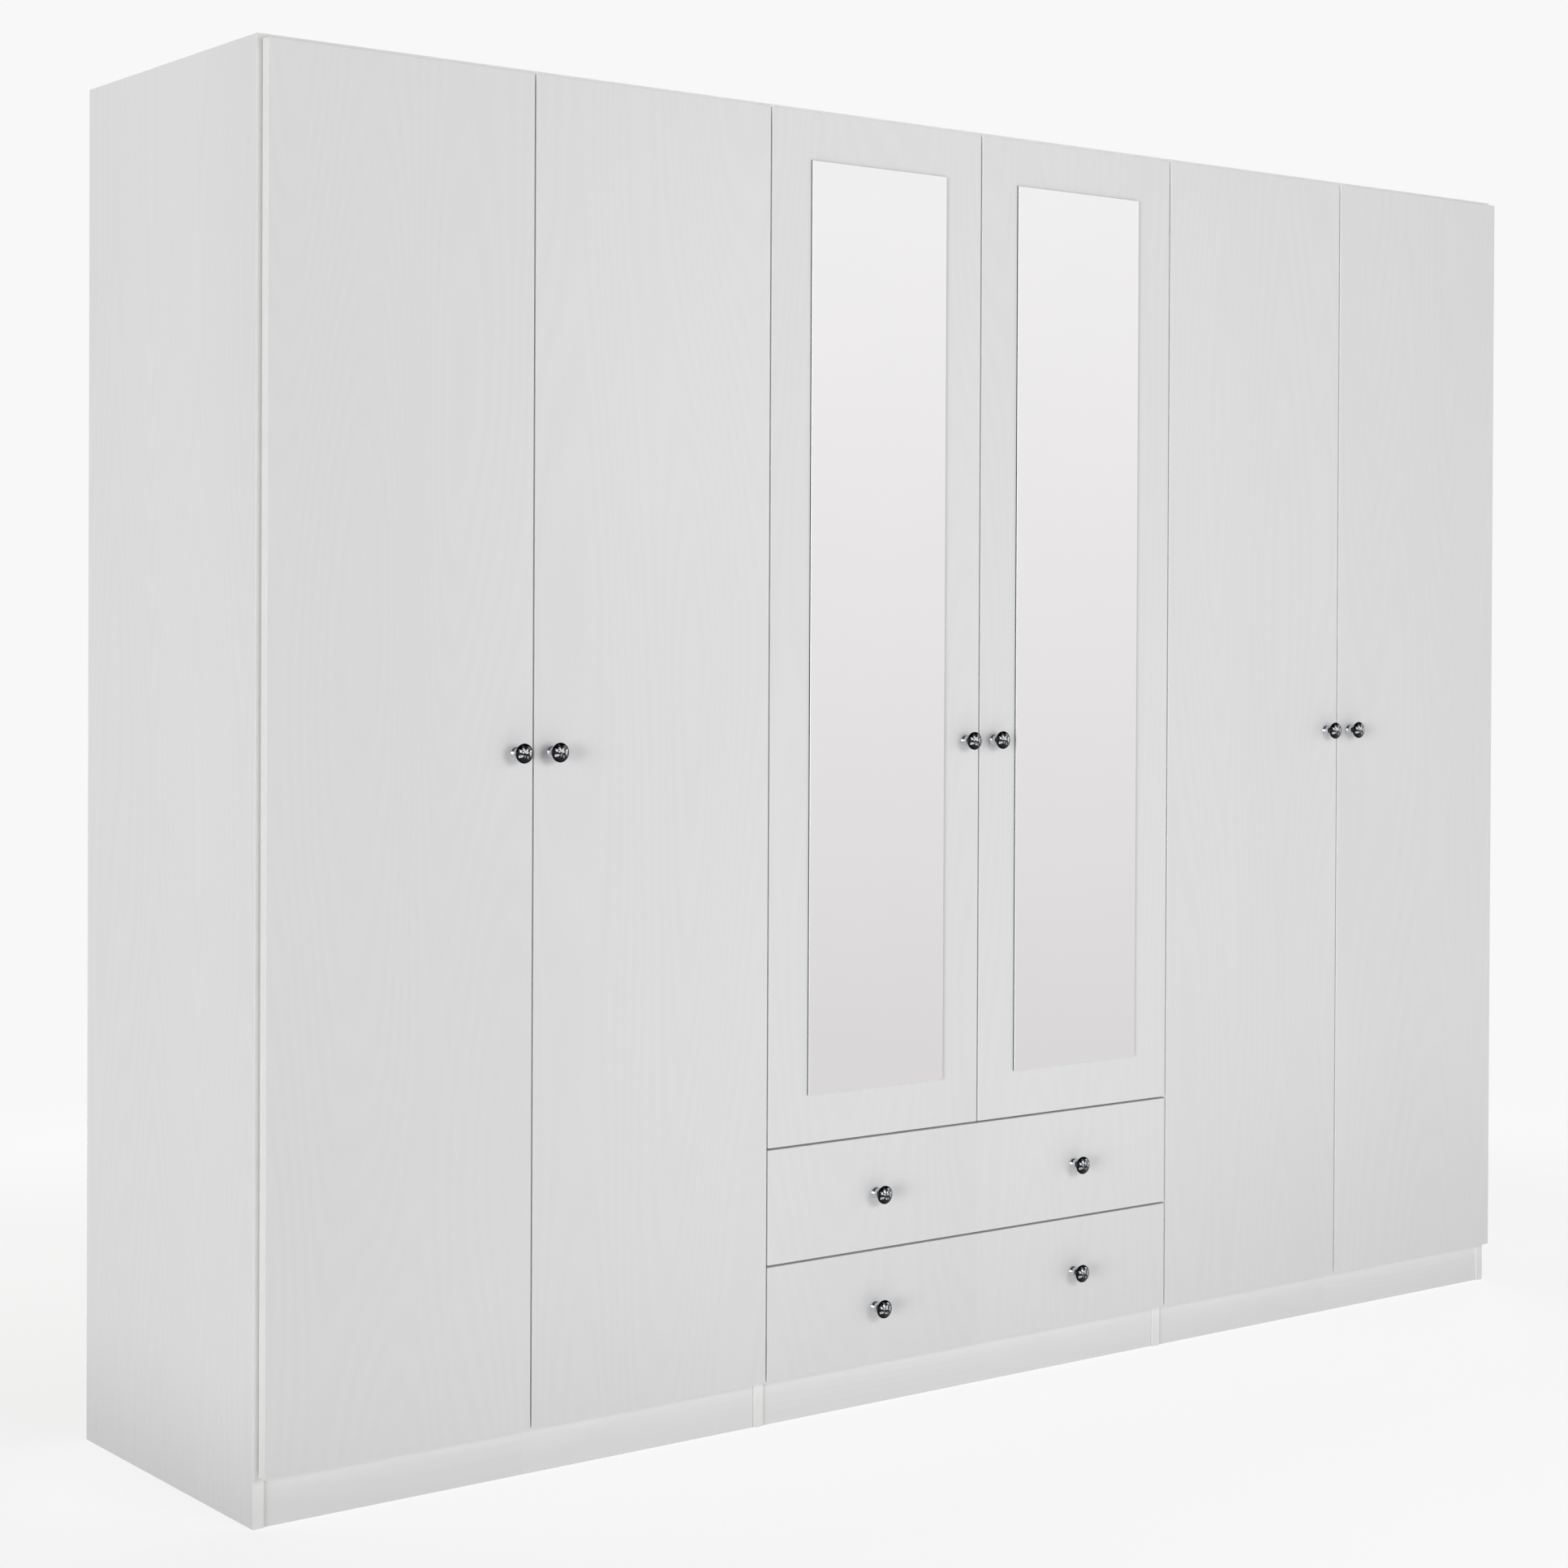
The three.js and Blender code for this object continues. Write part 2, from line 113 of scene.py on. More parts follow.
lens = bpy.data.cameras.new("studio_lens")
lens.sensor_width = SENSOR_MM
lens.lens = LENS_MM
lens.shift_y = FRAME_SHIFT
lens.clip_end = FAR_CLIP
camera = bpy.data.objects.new("studio_camera", lens)
bpy.context.scene.collection.objects.link(camera)
turn = Matrix.Rotation(-CAMERA_TURN, 4, "Z")
tilt = Matrix.Rotation(math.radians(90) + CAMERA_TILT, 4, "X")
roll = Matrix.Rotation(CAMERA_ROLL, 4, "Z")
camera.matrix_world = Matrix.Translation(CAMERA_PLACE) @ turn @ tilt @ roll
bpy.context.scene.camera = camera
print(f"camera {CAMERA_PLACE.xy.length:.2f} m from the middle of the wardrobe")

# %% [markdown]
# ## Colours and nodes
# Colour charts give sRGB hex values, but shaders work in linear light, so one function
# turns hex into linear. A second one adds a node: it takes the settings by name and the
# links by input, which keeps each material down to a few readable lines. Noise rarely
# leaves its middle range, so that range is what the later cells stretch to full contrast.


# %% Colour and node helpers
def linear(hex_code):
    channels = [int(hex_code[place : place + 2], 16) / 255 for place in (1, 3, 5)]
    bent = [c / 12.92 if c <= 0.04045 else ((c + 0.055) / 1.055) ** 2.4 for c in channels]
    return (*bent, 1.0)


def add_node(material, kind, settings=None, links=None):
    """Adds one node. Settings name its properties or inputs, links say what feeds an input."""
    tree = material.node_tree
    node = tree.nodes.new(kind)
    for name, value in (settings or {}).items():
        if isinstance(name, str) and hasattr(node, name):
            setattr(node, name, value)
        else:
            node.inputs[name].default_value = value
    for name, (source, output) in (links or {}).items():
        tree.links.new(source.outputs[output], node.inputs[name])
    return node


def new_material(name):
    """An empty material with a Principled shader wired to its output."""
    material = bpy.data.materials.new(name)
    material.use_nodes = True
    material.node_tree.nodes.clear()
    shader = add_node(material, "ShaderNodeBsdfPrincipled")
    add_node(material, "ShaderNodeOutputMaterial", links={"Surface": (shader, "BSDF")})
    return material, shader


def feed(material, shader, name, source, output):
    material.node_tree.links.new(source.outputs[output], shader.inputs[name])


def stretched_noise(material, sizes, detail=3.0, roughness=0.55, offset=None):
    """Noise on the piece's own coordinates. sizes are the pattern's lengths in metres."""
    place = add_node(material, "ShaderNodeTexCoord")
    source = (place, "Object") if offset is None else (offset, "Vector")
    scale = [1 / size for size in sizes]
    mapping = add_node(material, "ShaderNodeMapping", {"Scale": scale}, {"Vector": source})
    settings = {"Scale": 1.0, "Detail": detail, "Roughness": roughness}
    return add_node(material, "ShaderNodeTexNoise", settings, {"Vector": (mapping, "Vector")})


NOISE_RANGE = {"From Min": 0.3, "From Max": 0.7}


# %% [markdown]
# ## White ash foil
# The boards are chipboard pressed under a printed melamine foil: white, satin, with the
# pores and rings of ash, so faint that they only show where light grazes the door. Each
# ring is a contour line of a hill that is stretched along the grain. Hills of noise give
# wandering lines, and the steep parts bunch up into the pointed arches of a flat-sawn
# board. Pores are short dashes between them. Colour barely changes; most of the figure
# is a change of gloss and a hair's breadth of embossing, as on the pressed foil.

# %% White ash foil
PORE_WIDTH, PORE_LENGTH = 1.1 * MM, 26 * MM
PORE_LOW, PORE_HIGH = 0.32, 0.68  # the part of the noise that reads as pores
HILL_WIDTH, HILL_LENGTH = 150 * MM, 1.3
WANDER_WIDTH, WANDER_LENGTH = 22 * MM, 240 * MM
RINGS_PER_HILL = 150.0  # a ring every 4 to 12 mm, as in quick-grown ash
CLOUD_WIDTH, CLOUD_LENGTH = 0.45, 1.1
FOIL_DARK, FOIL_LIGHT = "#e4e4e5", "#ebebec"
EMBOSS_DEPTH = 0.03 * MM
# Pores, hills, wander and clouds: width, length, detail and roughness of each noise.
FOIL_NOISES = (
    (PORE_WIDTH, PORE_LENGTH, 2.0, 0.6),
    (HILL_WIDTH, HILL_LENGTH, 0.0, 0.5),
    (WANDER_WIDTH, WANDER_LENGTH, 1.0, 0.5),
    (CLOUD_WIDTH, CLOUD_LENGTH, 1.0, 0.5),
)
DOOR_SHIFT = 3.7  # metres along the grain from one door's pattern to the next
RING_SWAY = 5.0
RING_CONTRAST, PORE_CONTRAST = 0.10, 0.09
CLOUD_LOW, CLOUD_HIGH = 0.25, 0.75
RING_ROUGH, RING_SMOOTH = 0.47, 0.39
MELAMINE_IOR = 1.5


def along_grain(width, length, axis):
    sizes = [width, width, width]
    sizes[axis] = length
    return sizes


def door_offset(material):
    """Shifts the pattern from door to door, so that no ring runs on across a gap."""
    place = add_node(material, "ShaderNodeTexCoord")
    parts = add_node(material, "ShaderNodeSeparateXYZ", links={"Vector": (place, "Object")})
    share = {"operation": "DIVIDE", 1: BAY_PITCH / 2}
    steps = add_node(material, "ShaderNodeMath", share, {0: (parts, "X")})
    whole = add_node(material, "ShaderNodeMath", {"operation": "FLOOR"}, {0: (steps, "Value")})
    jump = {"operation": "MULTIPLY", 1: DOOR_SHIFT}
    jumped = add_node(material, "ShaderNodeMath", jump, {0: (whole, "Value")})
    shift = add_node(material, "ShaderNodeCombineXYZ", links={"Z": (jumped, "Value")})
    links = {0: (place, "Object"), 1: (shift, "Vector")}
    return add_node(material, "ShaderNodeVectorMath", {"operation": "ADD"}, links)


def ash_foil(name, axis):
    material, shader = new_material(name)
    offset = door_offset(material)
    noises = []
    for width, length, detail, roughness in FOIL_NOISES:
        sizes = along_grain(width, length, axis)
        noises.append(stretched_noise(material, sizes, detail, roughness, offset))
    pores, hills, wander, clouds = noises
    times = {"operation": "MULTIPLY", 1: RINGS_PER_HILL}
    many = add_node(material, "ShaderNodeMath", times, {0: (hills, 0)})
    swayed = {"operation": "MULTIPLY", 1: RING_SWAY}
    sway = add_node(material, "ShaderNodeMath", swayed, {0: (wander, 0)})
    links = {0: (many, 0), 1: (sway, 0)}
    phase = add_node(material, "ShaderNodeMath", {"operation": "ADD"}, links)
    rings = add_node(material, "ShaderNodeMath", {"operation": "SINE"}, {0: (phase, 0)})
    ring_range = {"From Min": -1, "To Min": -RING_CONTRAST, "To Max": RING_CONTRAST}
    ring_part = add_node(material, "ShaderNodeMapRange", ring_range, {"Value": (rings, 0)})
    cloud_range = {**NOISE_RANGE, "To Min": CLOUD_LOW, "To Max": CLOUD_HIGH}
    cloud_part = add_node(material, "ShaderNodeMapRange", cloud_range, {"Value": (clouds, 0)})
    pore_range = {"From Min": PORE_LOW, "From Max": PORE_HIGH}
    pore_range |= {"To Min": -PORE_CONTRAST, "To Max": PORE_CONTRAST}
    pore_part = add_node(material, "ShaderNodeMapRange", pore_range, {"Value": (pores, 0)})
    grain = ring_part
    for part in (cloud_part, pore_part):
        links = {0: (grain, 0), 1: (part, 0)}
        grain = add_node(material, "ShaderNodeMath", {"operation": "ADD"}, links)
    tones = {"data_type": "RGBA", 6: linear(FOIL_DARK), 7: linear(FOIL_LIGHT)}
    colour = add_node(material, "ShaderNodeMix", tones, {0: (grain, 0)})
    feed(material, shader, "Base Color", colour, 2)
    gloss_range = {"From Min": -1, "To Min": RING_ROUGH, "To Max": RING_SMOOTH}
    sheen = add_node(material, "ShaderNodeMapRange", gloss_range, {"Value": (rings, 0)})
    feed(material, shader, "Roughness", sheen, 0)
    links = {0: (ring_part, 0), 1: (pore_part, 0)}
    relief = add_node(material, "ShaderNodeMath", {"operation": "ADD"}, links)
    settings = {"Strength": 0.5, "Distance": EMBOSS_DEPTH}
    bump = add_node(material, "ShaderNodeBump", settings, {"Height": (relief, 0)})
    feed(material, shader, "Normal", bump, 0)
    shader.inputs["IOR"].default_value = MELAMINE_IOR
    return material


upright_foil = ash_foil("white_ash_foil_upright", 2)
level_foil = ash_foil("white_ash_foil_level", 0)
print("foils:", upright_foil.name, level_foil.name)

# %% [markdown]
# ## Edging, bare chipboard and hardboard
# Visible edges carry a plain melamine strip, warmer and a little glossier than the foil.
# Edges that nobody sees are left as sawn chipboard. The back and the drawer bottoms are
# hardboard: lacquered white on one face, brown with a faint screen mark on the other.


# %% Edging, chipboard and hardboard
RIPPLES_PER_CLOUD = 12
RIPPLE_DEPTH = 0.04 * MM


def plain_white(name, dark, light, grain_size, rough_low, rough_high):
    """A smooth white surface with the slight cloudiness that rolled or moulded white has."""
    material, shader = new_material(name)
    clouds = stretched_noise(material, [grain_size] * 3, 2.0)
    tones = {"data_type": "RGBA", 6: linear(dark), 7: linear(light)}
    colour = add_node(material, "ShaderNodeMix", tones, {0: (clouds, 0)})
    feed(material, shader, "Base Color", colour, 2)
    gloss_range = {**NOISE_RANGE, "To Min": rough_low, "To Max": rough_high}
    gloss = add_node(material, "ShaderNodeMapRange", gloss_range, {"Value": (clouds, 0)})
    feed(material, shader, "Roughness", gloss, 0)
    fine = stretched_noise(material, [grain_size / RIPPLES_PER_CLOUD] * 3, 1.0)
    settings = {"Strength": 0.1, "Distance": RIPPLE_DEPTH}
    bump = add_node(material, "ShaderNodeBump", settings, {"Height": (fine, 0)})
    feed(material, shader, "Normal", bump, 0)
    return material


edging = plain_white("melamine_edging", "#ecece9", "#f3f3f1", 40 * MM, 0.30, 0.38)
white_lacquer = plain_white("white_lacquered_hardboard", "#eae9e5", "#f1f0ed", 60 * MM, 0.5, 0.62)
wrap_foil = plain_white("plain_white_drawer_foil", "#e6e6e3", "#eeeeeb", 55 * MM, 0.45, 0.55)
white_nylon = plain_white("white_nylon", "#ecebe6", "#f4f3ef", 18 * MM, 0.35, 0.45)
runner_enamel = plain_white("white_epoxy_enamel", "#eceeee", "#f6f7f7", 25 * MM, 0.28, 0.36)

FLAKE_SIZE, FLAKE_DEPTH, SAWN_ROUGHNESS = 2.4 * MM, 0.3 * MM, 0.85
chipboard, chip_shader = new_material("sawn_chipboard")
chip_place = add_node(chipboard, "ShaderNodeTexCoord")
chip_cells = add_node(
    chipboard,
    "ShaderNodeTexVoronoi",
    {"Scale": 1 / FLAKE_SIZE},
    {"Vector": (chip_place, "Object")},
)
chip_grey = add_node(chipboard, "ShaderNodeRGBToBW", links={"Color": (chip_cells, "Color")})
chip_tones = {"data_type": "RGBA", 6: linear("#9c8058"), 7: linear("#d1b78c")}
chip_colour = add_node(chipboard, "ShaderNodeMix", chip_tones, {0: (chip_grey, 0)})
feed(chipboard, chip_shader, "Base Color", chip_colour, 2)
chip_bump = add_node(
    chipboard,
    "ShaderNodeBump",
    {"Strength": 0.6, "Distance": FLAKE_DEPTH},
    {"Height": (chip_cells, "Distance")},
)
feed(chipboard, chip_shader, "Normal", chip_bump, 0)
chip_shader.inputs["Roughness"].default_value = SAWN_ROUGHNESS

SCREEN_PITCH = 6 * MM  # the real screen mark is under 2 mm, too fine to show
SCREEN_DEPTH, FIBRE_CLOUD, FIBRE_ROUGHNESS = 0.15 * MM, 30 * MM, 0.78
brown_board, brown_shader = new_material("bare_brown_hardboard")
brown_clouds = stretched_noise(brown_board, [FIBRE_CLOUD] * 3, 4.0, 0.65)
brown_tones = {"data_type": "RGBA", 6: linear("#7d5a3a"), 7: linear("#9d7750")}
brown_colour = add_node(brown_board, "ShaderNodeMix", brown_tones, {0: (brown_clouds, 0)})
feed(brown_board, brown_shader, "Base Color", brown_colour, 2)
brown_place = add_node(brown_board, "ShaderNodeTexCoord")
screen = add_node(
    brown_board,
    "ShaderNodeTexChecker",
    {"Scale": 1 / SCREEN_PITCH},
    {"Vector": (brown_place, "Object")},
)
brown_bump = add_node(
    brown_board,
    "ShaderNodeBump",
    {"Strength": 0.3, "Distance": SCREEN_DEPTH},
    {"Height": (screen, "Fac")},
)
feed(brown_board, brown_shader, "Normal", brown_bump, 0)
brown_shader.inputs["Roughness"].default_value = FIBRE_ROUGHNESS
print("plain surfaces:", edging.name, white_lacquer.name, chipboard.name, brown_board.name)

# %% [markdown]
# ## Metals and glass
# Chrome is a bare mirror with a cold tint and no colour of its own, so its look comes from
# what stands round it. The dark chrome of the knobs is a painted dark reflection instead.
# The mirrors are float glass silvered from behind, with a green tinge in the polished edge.
# A faint noise in the roughness stands for wiping marks. The knobs' stones are acrylic foiled
# from behind, so each facet is a mirror under a clear coat, and their dark and grey facets
# are painted reflections.


# %% Metals and glass
def bare_metal(name, dark, light, rough_low, rough_high, mark_size):
    material, shader = new_material(name)
    marks = stretched_noise(material, [mark_size] * 3, 3.0)
    tones = {"data_type": "RGBA", 6: linear(dark), 7: linear(light)}
    colour = add_node(material, "ShaderNodeMix", tones, {0: (marks, 0)})
    feed(material, shader, "Base Color", colour, 2)
    gloss_range = {**NOISE_RANGE, "To Min": rough_low, "To Max": rough_high}
    gloss = add_node(material, "ShaderNodeMapRange", gloss_range, {"Value": (marks, 0)})
    feed(material, shader, "Roughness", gloss, 0)
    shader.inputs["Metallic"].default_value = 1.0
    return material


chrome = bare_metal("polished_chrome", "#c9cdd1", "#dfe2e5", 0.05, 0.09, 9 * MM)
# Dark chrome: a painted dark reflection of the room, for the knobs from the neck outwards.
chrome_painted_dark_reflection = bare_metal("chrome_painted_dark_reflection", "#131416", "#222427", 0.08, 0.13, 7 * MM)
hinge_steel = bare_metal("nickelled_hinge_steel", "#c6c8c8", "#dcdedd", 0.22, 0.34, 6 * MM)
zinc_steel = bare_metal("zinc_plated_screw_steel", "#b9bcba", "#d2d5d2", 0.3, 0.42, 4 * MM)
silvering = bare_metal("silvered_float_glass", "#efeeee", "#f2f0f1", 0.004, 0.012, 0.25)
glass_edge = bare_metal("polished_glass_edge", "#4d5754", "#65706d", 0.12, 0.2, 20 * MM)
ground_rim = plain_white("ground_glass_rim", "#eef1f1", "#f8fafa", 12 * MM, 0.25, 0.35)
stone_bright = bare_metal("clear_stone_bright_facet", "#f2f4f6", "#ffffff", 0.02, 0.05, 3 * MM)
# Dark and grey facets: painted reflections of the dark room, not colours of the stone.
stone_painted_dark_reflection = bare_metal("clear_stone_facet_painted_dark", "#0c0d0f", "#222427", 0.03, 0.07, 3 * MM)
stone_painted_grey_reflection = bare_metal("clear_stone_facet_painted_grey", "#8d9297", "#b4b9be", 0.03, 0.06, 3 * MM)
ACRYLIC_IOR, POLISHED = 1.49, 0.02
for stone in (stone_bright, stone_painted_dark_reflection, stone_painted_grey_reflection):
    coat = stone.node_tree.nodes["Principled BSDF"].inputs
    coat["Coat Weight"].default_value = 0.5
    coat["Coat IOR"].default_value = ACRYLIC_IOR
    coat["Coat Roughness"].default_value = POLISHED
print("metals:", chrome.name, chrome_painted_dark_reflection.name, silvering.name)

# %% [markdown]
# ## Turning a bmesh into a piece
# Every new shape is finished the same way: doubles merged, faces turned outwards, a mesh
# made from it, materials attached, and the piece put on the body that it moves with. The
# object stays at the origin, because its place is already in its vertices. A piece that
# crosses a hinge is given both bodies and two points instead of one body, and is put on
# neither of them.

# %% Piece helpers
MERGE_WITHIN = 0.002 * MM
FACING = 0.9  # how nearly a face points one way, as a cosine


def make_piece(name, shape, body, materials, replaces=(), smooth_under=0.0):
    bmesh.ops.remove_doubles(shape, verts=shape.verts, dist=MERGE_WITHIN)
    bmesh.ops.recalc_face_normals(shape, faces=shape.faces)
    for edge in shape.edges:
        edge.smooth = len(edge.link_faces) == 2 and edge.calc_face_angle() < smooth_under
    for face in shape.faces:
        face.smooth = smooth_under > 0
    mesh = bpy.data.meshes.new(name)
    shape.to_mesh(mesh)
    shape.free()
    for material in materials:
        mesh.materials.append(material)
    piece = bpy.data.objects.new(name, mesh)
    bpy.context.scene.collection.objects.link(piece)
    if isinstance(body, str):
        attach(piece, body)
    else:
        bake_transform(piece)
    if replaces:
        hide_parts(*replaces)
    return piece


def add_block(shape, low, high):
    """Adds a box between two corners to a bmesh and returns its vertices."""
    made = bmesh.ops.create_cube(shape, size=1.0)["verts"]
    size = Vector(high) - Vector(low)
    bmesh.ops.scale(shape, vec=size, verts=made)
    bmesh.ops.translate(shape, vec=(Vector(high) + Vector(low)) / 2, verts=made)
    return made


def round_edges(shape, width, segments=2, edges=None):
    bmesh.ops.bevel(
        shape,
        geom=list(edges or shape.edges),
        offset=width,
        offset_type="OFFSET",
        affect="EDGES",
        segments=segments,
        profile=0.5,
        material=-1,
    )


def body_of(node):
    return frame["nodes"][node]["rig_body"]


# %% [markdown]
# ## Boards
# A board is a box with its arrises eased by the edge trimmer, about 0.5 mm. Foil covers
# its two broad faces and edging its narrow ones. Which faces are broad follows from the
# thinnest direction, so one function serves uprights, shelves, plinths and doors alike.

# %% Boards
ARRIS = 0.5 * MM
BOARD_MATERIALS = {"upright": upright_foil, "level": level_foil}


def paint_board(shape, thin_axis, bare_sides=()):
    """Foil on the broad faces, edging on the narrow ones, bare chipboard where asked."""
    for face in shape.faces:
        normal = face.normal
        if abs(normal[thin_axis]) > FACING:
            face.material_index = 0
        elif any(normal.dot(Vector(side)) > FACING for side in bare_sides):
            face.material_index = 2
        else:
            face.material_index = 1


def add_board(node, grain, bare_sides):
    low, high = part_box(node)
    shape = bmesh.new()
    add_block(shape, low, high)
    round_edges(shape, ARRIS)
    bmesh.ops.recalc_face_normals(shape, faces=shape.faces)
    size = high - low
    paint_board(shape, list(size).index(min(size)), bare_sides)
    materials = [BOARD_MATERIALS[grain], edging, chipboard]
    return make_piece(f"{node}_board", shape, body_of(node), materials, [node])


BACKWARDS, DOWNWARDS = (0, 1, 0), (0, 0, -1)
SIDEWAYS = [(1, 0, 0), (-1, 0, 0)]
for node in ("left_side", "left_divider", "right_divider", "right_side"):
    add_board(node, "upright", [BACKWARDS, DOWNWARDS])
for bay in ("left", "centre", "right"):
    add_board(f"{bay}_top", "level", [BACKWARDS, *SIDEWAYS])
    add_board(f"{bay}_base", "level", [BACKWARDS, *SIDEWAYS])
    add_board(f"{bay}_plinth", "level", [DOWNWARDS, *SIDEWAYS])
for node in ("left_hat_shelf", "centre_shelf", "right_hat_shelf", "drawer_deck"):
    add_board(node, "level", [BACKWARDS, *SIDEWAYS])

# %% [markdown]
# ## Doors with cup recesses
# A concealed hinge sits in a blind round hole milled in the door's back. A square cell is
# cut free round the hole's centre with two pairs of planes, its edges are divided, and
# the points are pushed out onto a circle. Extruding that face inwards makes the recess.

# %% Doors
CUP_RADIUS = 17.5 * MM
CUP_DEPTH = 11.5 * MM
CUP_EDGE_DISTANCE = 22 * MM
CUP_CELL = 21 * MM  # half the side of the square that is cut free round a recess
CUP_CELL_INSET = 1.5 * MM
CUP_SIDE_CUTS = 7
hinge_levels = {}
for door in DOORS:
    levels = {}
    for place in ("low", "high"):
        low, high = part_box(f"{door}_hinge_{place}")
        levels[place] = (low.z + high.z) / 2
    levels["middle"] = (levels["low"] + levels["high"]) / 2
    hinge_levels[door] = levels


def hinge_side(door):
    """-1 where a door hangs on its left edge, +1 where it hangs on its right edge."""
    return -1 if int(door[-1]) % 2 else 1


def hinge_edge(door):
    low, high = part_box(door)
    return low.x if hinge_side(door) < 0 else high.x


def cup_centre(door, level):
    return Vector((hinge_edge(door) - hinge_side(door) * CUP_EDGE_DISTANCE, FRONT_BACK, level))


def cut_planes(shape, point, normal):
    geometry = shape.verts[:] + shape.edges[:] + shape.faces[:]
    bmesh.ops.bisect_plane(shape, geom=geometry, plane_co=point, plane_no=normal)


def mill_recess(shape, centre):
    across = Vector((CUP_CELL, 0, 0))
    along = Vector((0, 0, CUP_CELL))
    for point, normal in (
        (centre - across, (1, 0, 0)),
        (centre + across, (1, 0, 0)),
        (centre - along, (0, 0, 1)),
        (centre + along, (0, 0, 1)),
    ):
        cut_planes(shape, point, normal)
    shape.faces.ensure_lookup_table()
    cell = min(
        (face for face in shape.faces if face.normal.y > FACING),
        key=lambda face: (face.calc_center_median() - centre).length,
    )
    bmesh.ops.inset_individual(shape, faces=[cell], thickness=CUP_CELL_INSET, use_even_offset=True)
    bmesh.ops.subdivide_edges(shape, edges=list(cell.edges), cuts=CUP_SIDE_CUTS)
    rim = max(
        (face for face in shape.faces if len(face.verts) == 4 * (CUP_SIDE_CUTS + 1)),
        key=lambda face: -(face.calc_center_median() - centre).length,
    )
    for vertex in rim.verts:
        spoke = vertex.co - centre
        vertex.co = centre + spoke.normalized() * CUP_RADIUS
    pushed = bmesh.ops.extrude_discrete_faces(shape, faces=[rim])["faces"][0]
    bmesh.ops.translate(shape, vec=(0, -CUP_DEPTH, 0), verts=pushed.verts)
    pushed.material_index = 2
    for edge in pushed.edges:
        for face in edge.link_faces:
            face.material_index = 2


def add_front(node, recess_centres=()):
    low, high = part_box(node)
    shape = bmesh.new()
    add_block(shape, low, high)
    round_edges(shape, ARRIS)
    bmesh.ops.recalc_face_normals(shape, faces=shape.faces)
    paint_board(shape, 1)
    for centre in recess_centres:
        mill_recess(shape, centre)
    materials = [upright_foil, edging, chipboard]
    return make_piece(f"{node}_board", shape, body_of(node), materials, [node])


for door in DOORS:
    add_front(door, [cup_centre(door, level) for level in hinge_levels[door].values()])
for drawer in DRAWERS:
    add_front(f"{drawer}_front")
print("fronts dressed:", len(DOORS) + len(DRAWERS))

# %% [markdown]
# ## Mirrors
# Each mirror is a 3 mm pane stuck on the face of its door. Its rim is ground to a narrow
# flat that catches the light, next to the dark line of the glass's own thickness. One
# flat bevel on the front edges makes the light line, and the four sides stay dark.

# %% Mirrors
PANE_BEVEL = 0.7 * MM
SAME_PLANE = 0.1 * MM
BEVEL_FACING = 0.3
for door in ("door_3", "door_4"):
    node = f"{door}_mirror"
    low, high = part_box(node)
    shape = bmesh.new()
    add_block(shape, low, high)
    bmesh.ops.recalc_face_normals(shape, faces=shape.faces)
    front_edges = [
        edge
        for edge in shape.edges
        if all(abs(vertex.co.y - low.y) < SAME_PLANE for vertex in edge.verts)
    ]
    round_edges(shape, PANE_BEVEL, 1, front_edges)
    bmesh.ops.recalc_face_normals(shape, faces=shape.faces)
    for face in shape.faces:
        forwards = -face.normal.y
        face.material_index = 0 if forwards > FACING else 2 if forwards > BEVEL_FACING else 1
    finishes = [silvering, glass_edge, ground_rim]
    make_piece(f"{node}_pane", shape, door, finishes, [node])
print("mirrors dressed: 2")

# %% [markdown]
# ## Knobs
# A knob is turned and chromed: a flared foot, a short neck and a round cup. Set in the cup
# is a clear stone cut with flat facets and foiled from behind. Which facets look white and
# which look dark is painted: a repeating pattern picks bright silver, or a painted dark or
# grey reflection, for each facet, and the stone's lower left gets painted shade. The metal is
# a profile spun round the knob's axis, and the stone is the convex hull of a few rings of
# points, which gives its facets by itself. A mirror that small mostly shows the dark of the
# room, so from the neck outwards the metal carries that as a painted dark reflection.

# %% Knobs
KNOB_STEPS = 48
FOOT_RADIUS, NECK_RADIUS, HEAD_RADIUS = 8.0, 4.6, 13.5
HEAD_MIDDLE, HEAD_BACK_DEPTH, HEAD_FRONT_DEPTH = 22.6, 6.6, 3.2
SEAT_RADIUS, SEAT_AT, STONE_TIP_AT = 11.8, 24.2, 26.9
SEAT_DEPTH, STONE_PLAY = 0.5, 0.4
FOOT_AT, FOOT_EDGE, FLARE_END, FLARE_REACH = 0.2, 1.2, 9.0, 7.0
COLLAR_FROM, COLLAR_TO, COLLAR_RISE = 14.6, 16.2, 0.6
# Reach from the door, in mm, beyond which the knob's metal gets the painted dark reflection.
PAINTED_DARK_FROM = 9.5
KNOB_SMOOTH = math.radians(40)


def arc(centre, radii, start, end, steps):
    """Points of an ellipse's arc, as (radius, height) pairs; angles in degrees."""
    points = []
    for step in range(steps + 1):
        angle = math.radians(start + (end - start) * step / steps)
        radius = centre[0] + radii[0] * math.cos(angle)
        points.append((radius, centre[1] + radii[1] * math.sin(angle)))
    return points


def knob_profile():
    foot = [(0, FOOT_AT), (FOOT_RADIUS, FOOT_AT), (FOOT_RADIUS, FOOT_EDGE)]
    flare_radii = (FOOT_RADIUS - NECK_RADIUS, FLARE_REACH)
    flare = arc((FOOT_RADIUS, FLARE_END), flare_radii, 258, 180, 8)
    collar_radius = NECK_RADIUS + 1.0
    collar = [(NECK_RADIUS, COLLAR_FROM), (collar_radius, COLLAR_FROM + COLLAR_RISE)]
    collar += [(collar_radius, COLLAR_TO)]
    back = arc((0, HEAD_MIDDLE), (HEAD_RADIUS, HEAD_BACK_DEPTH), -62, 0, 9)
    front = arc((0, HEAD_MIDDLE), (HEAD_RADIUS, HEAD_FRONT_DEPTH), 10, 27, 3)
    seat = SEAT_AT - SEAT_DEPTH
    lip = [(SEAT_RADIUS, SEAT_AT), (SEAT_RADIUS - STONE_PLAY, seat)]
    return foot + flare + collar + back + front + lip + [(0, seat)]


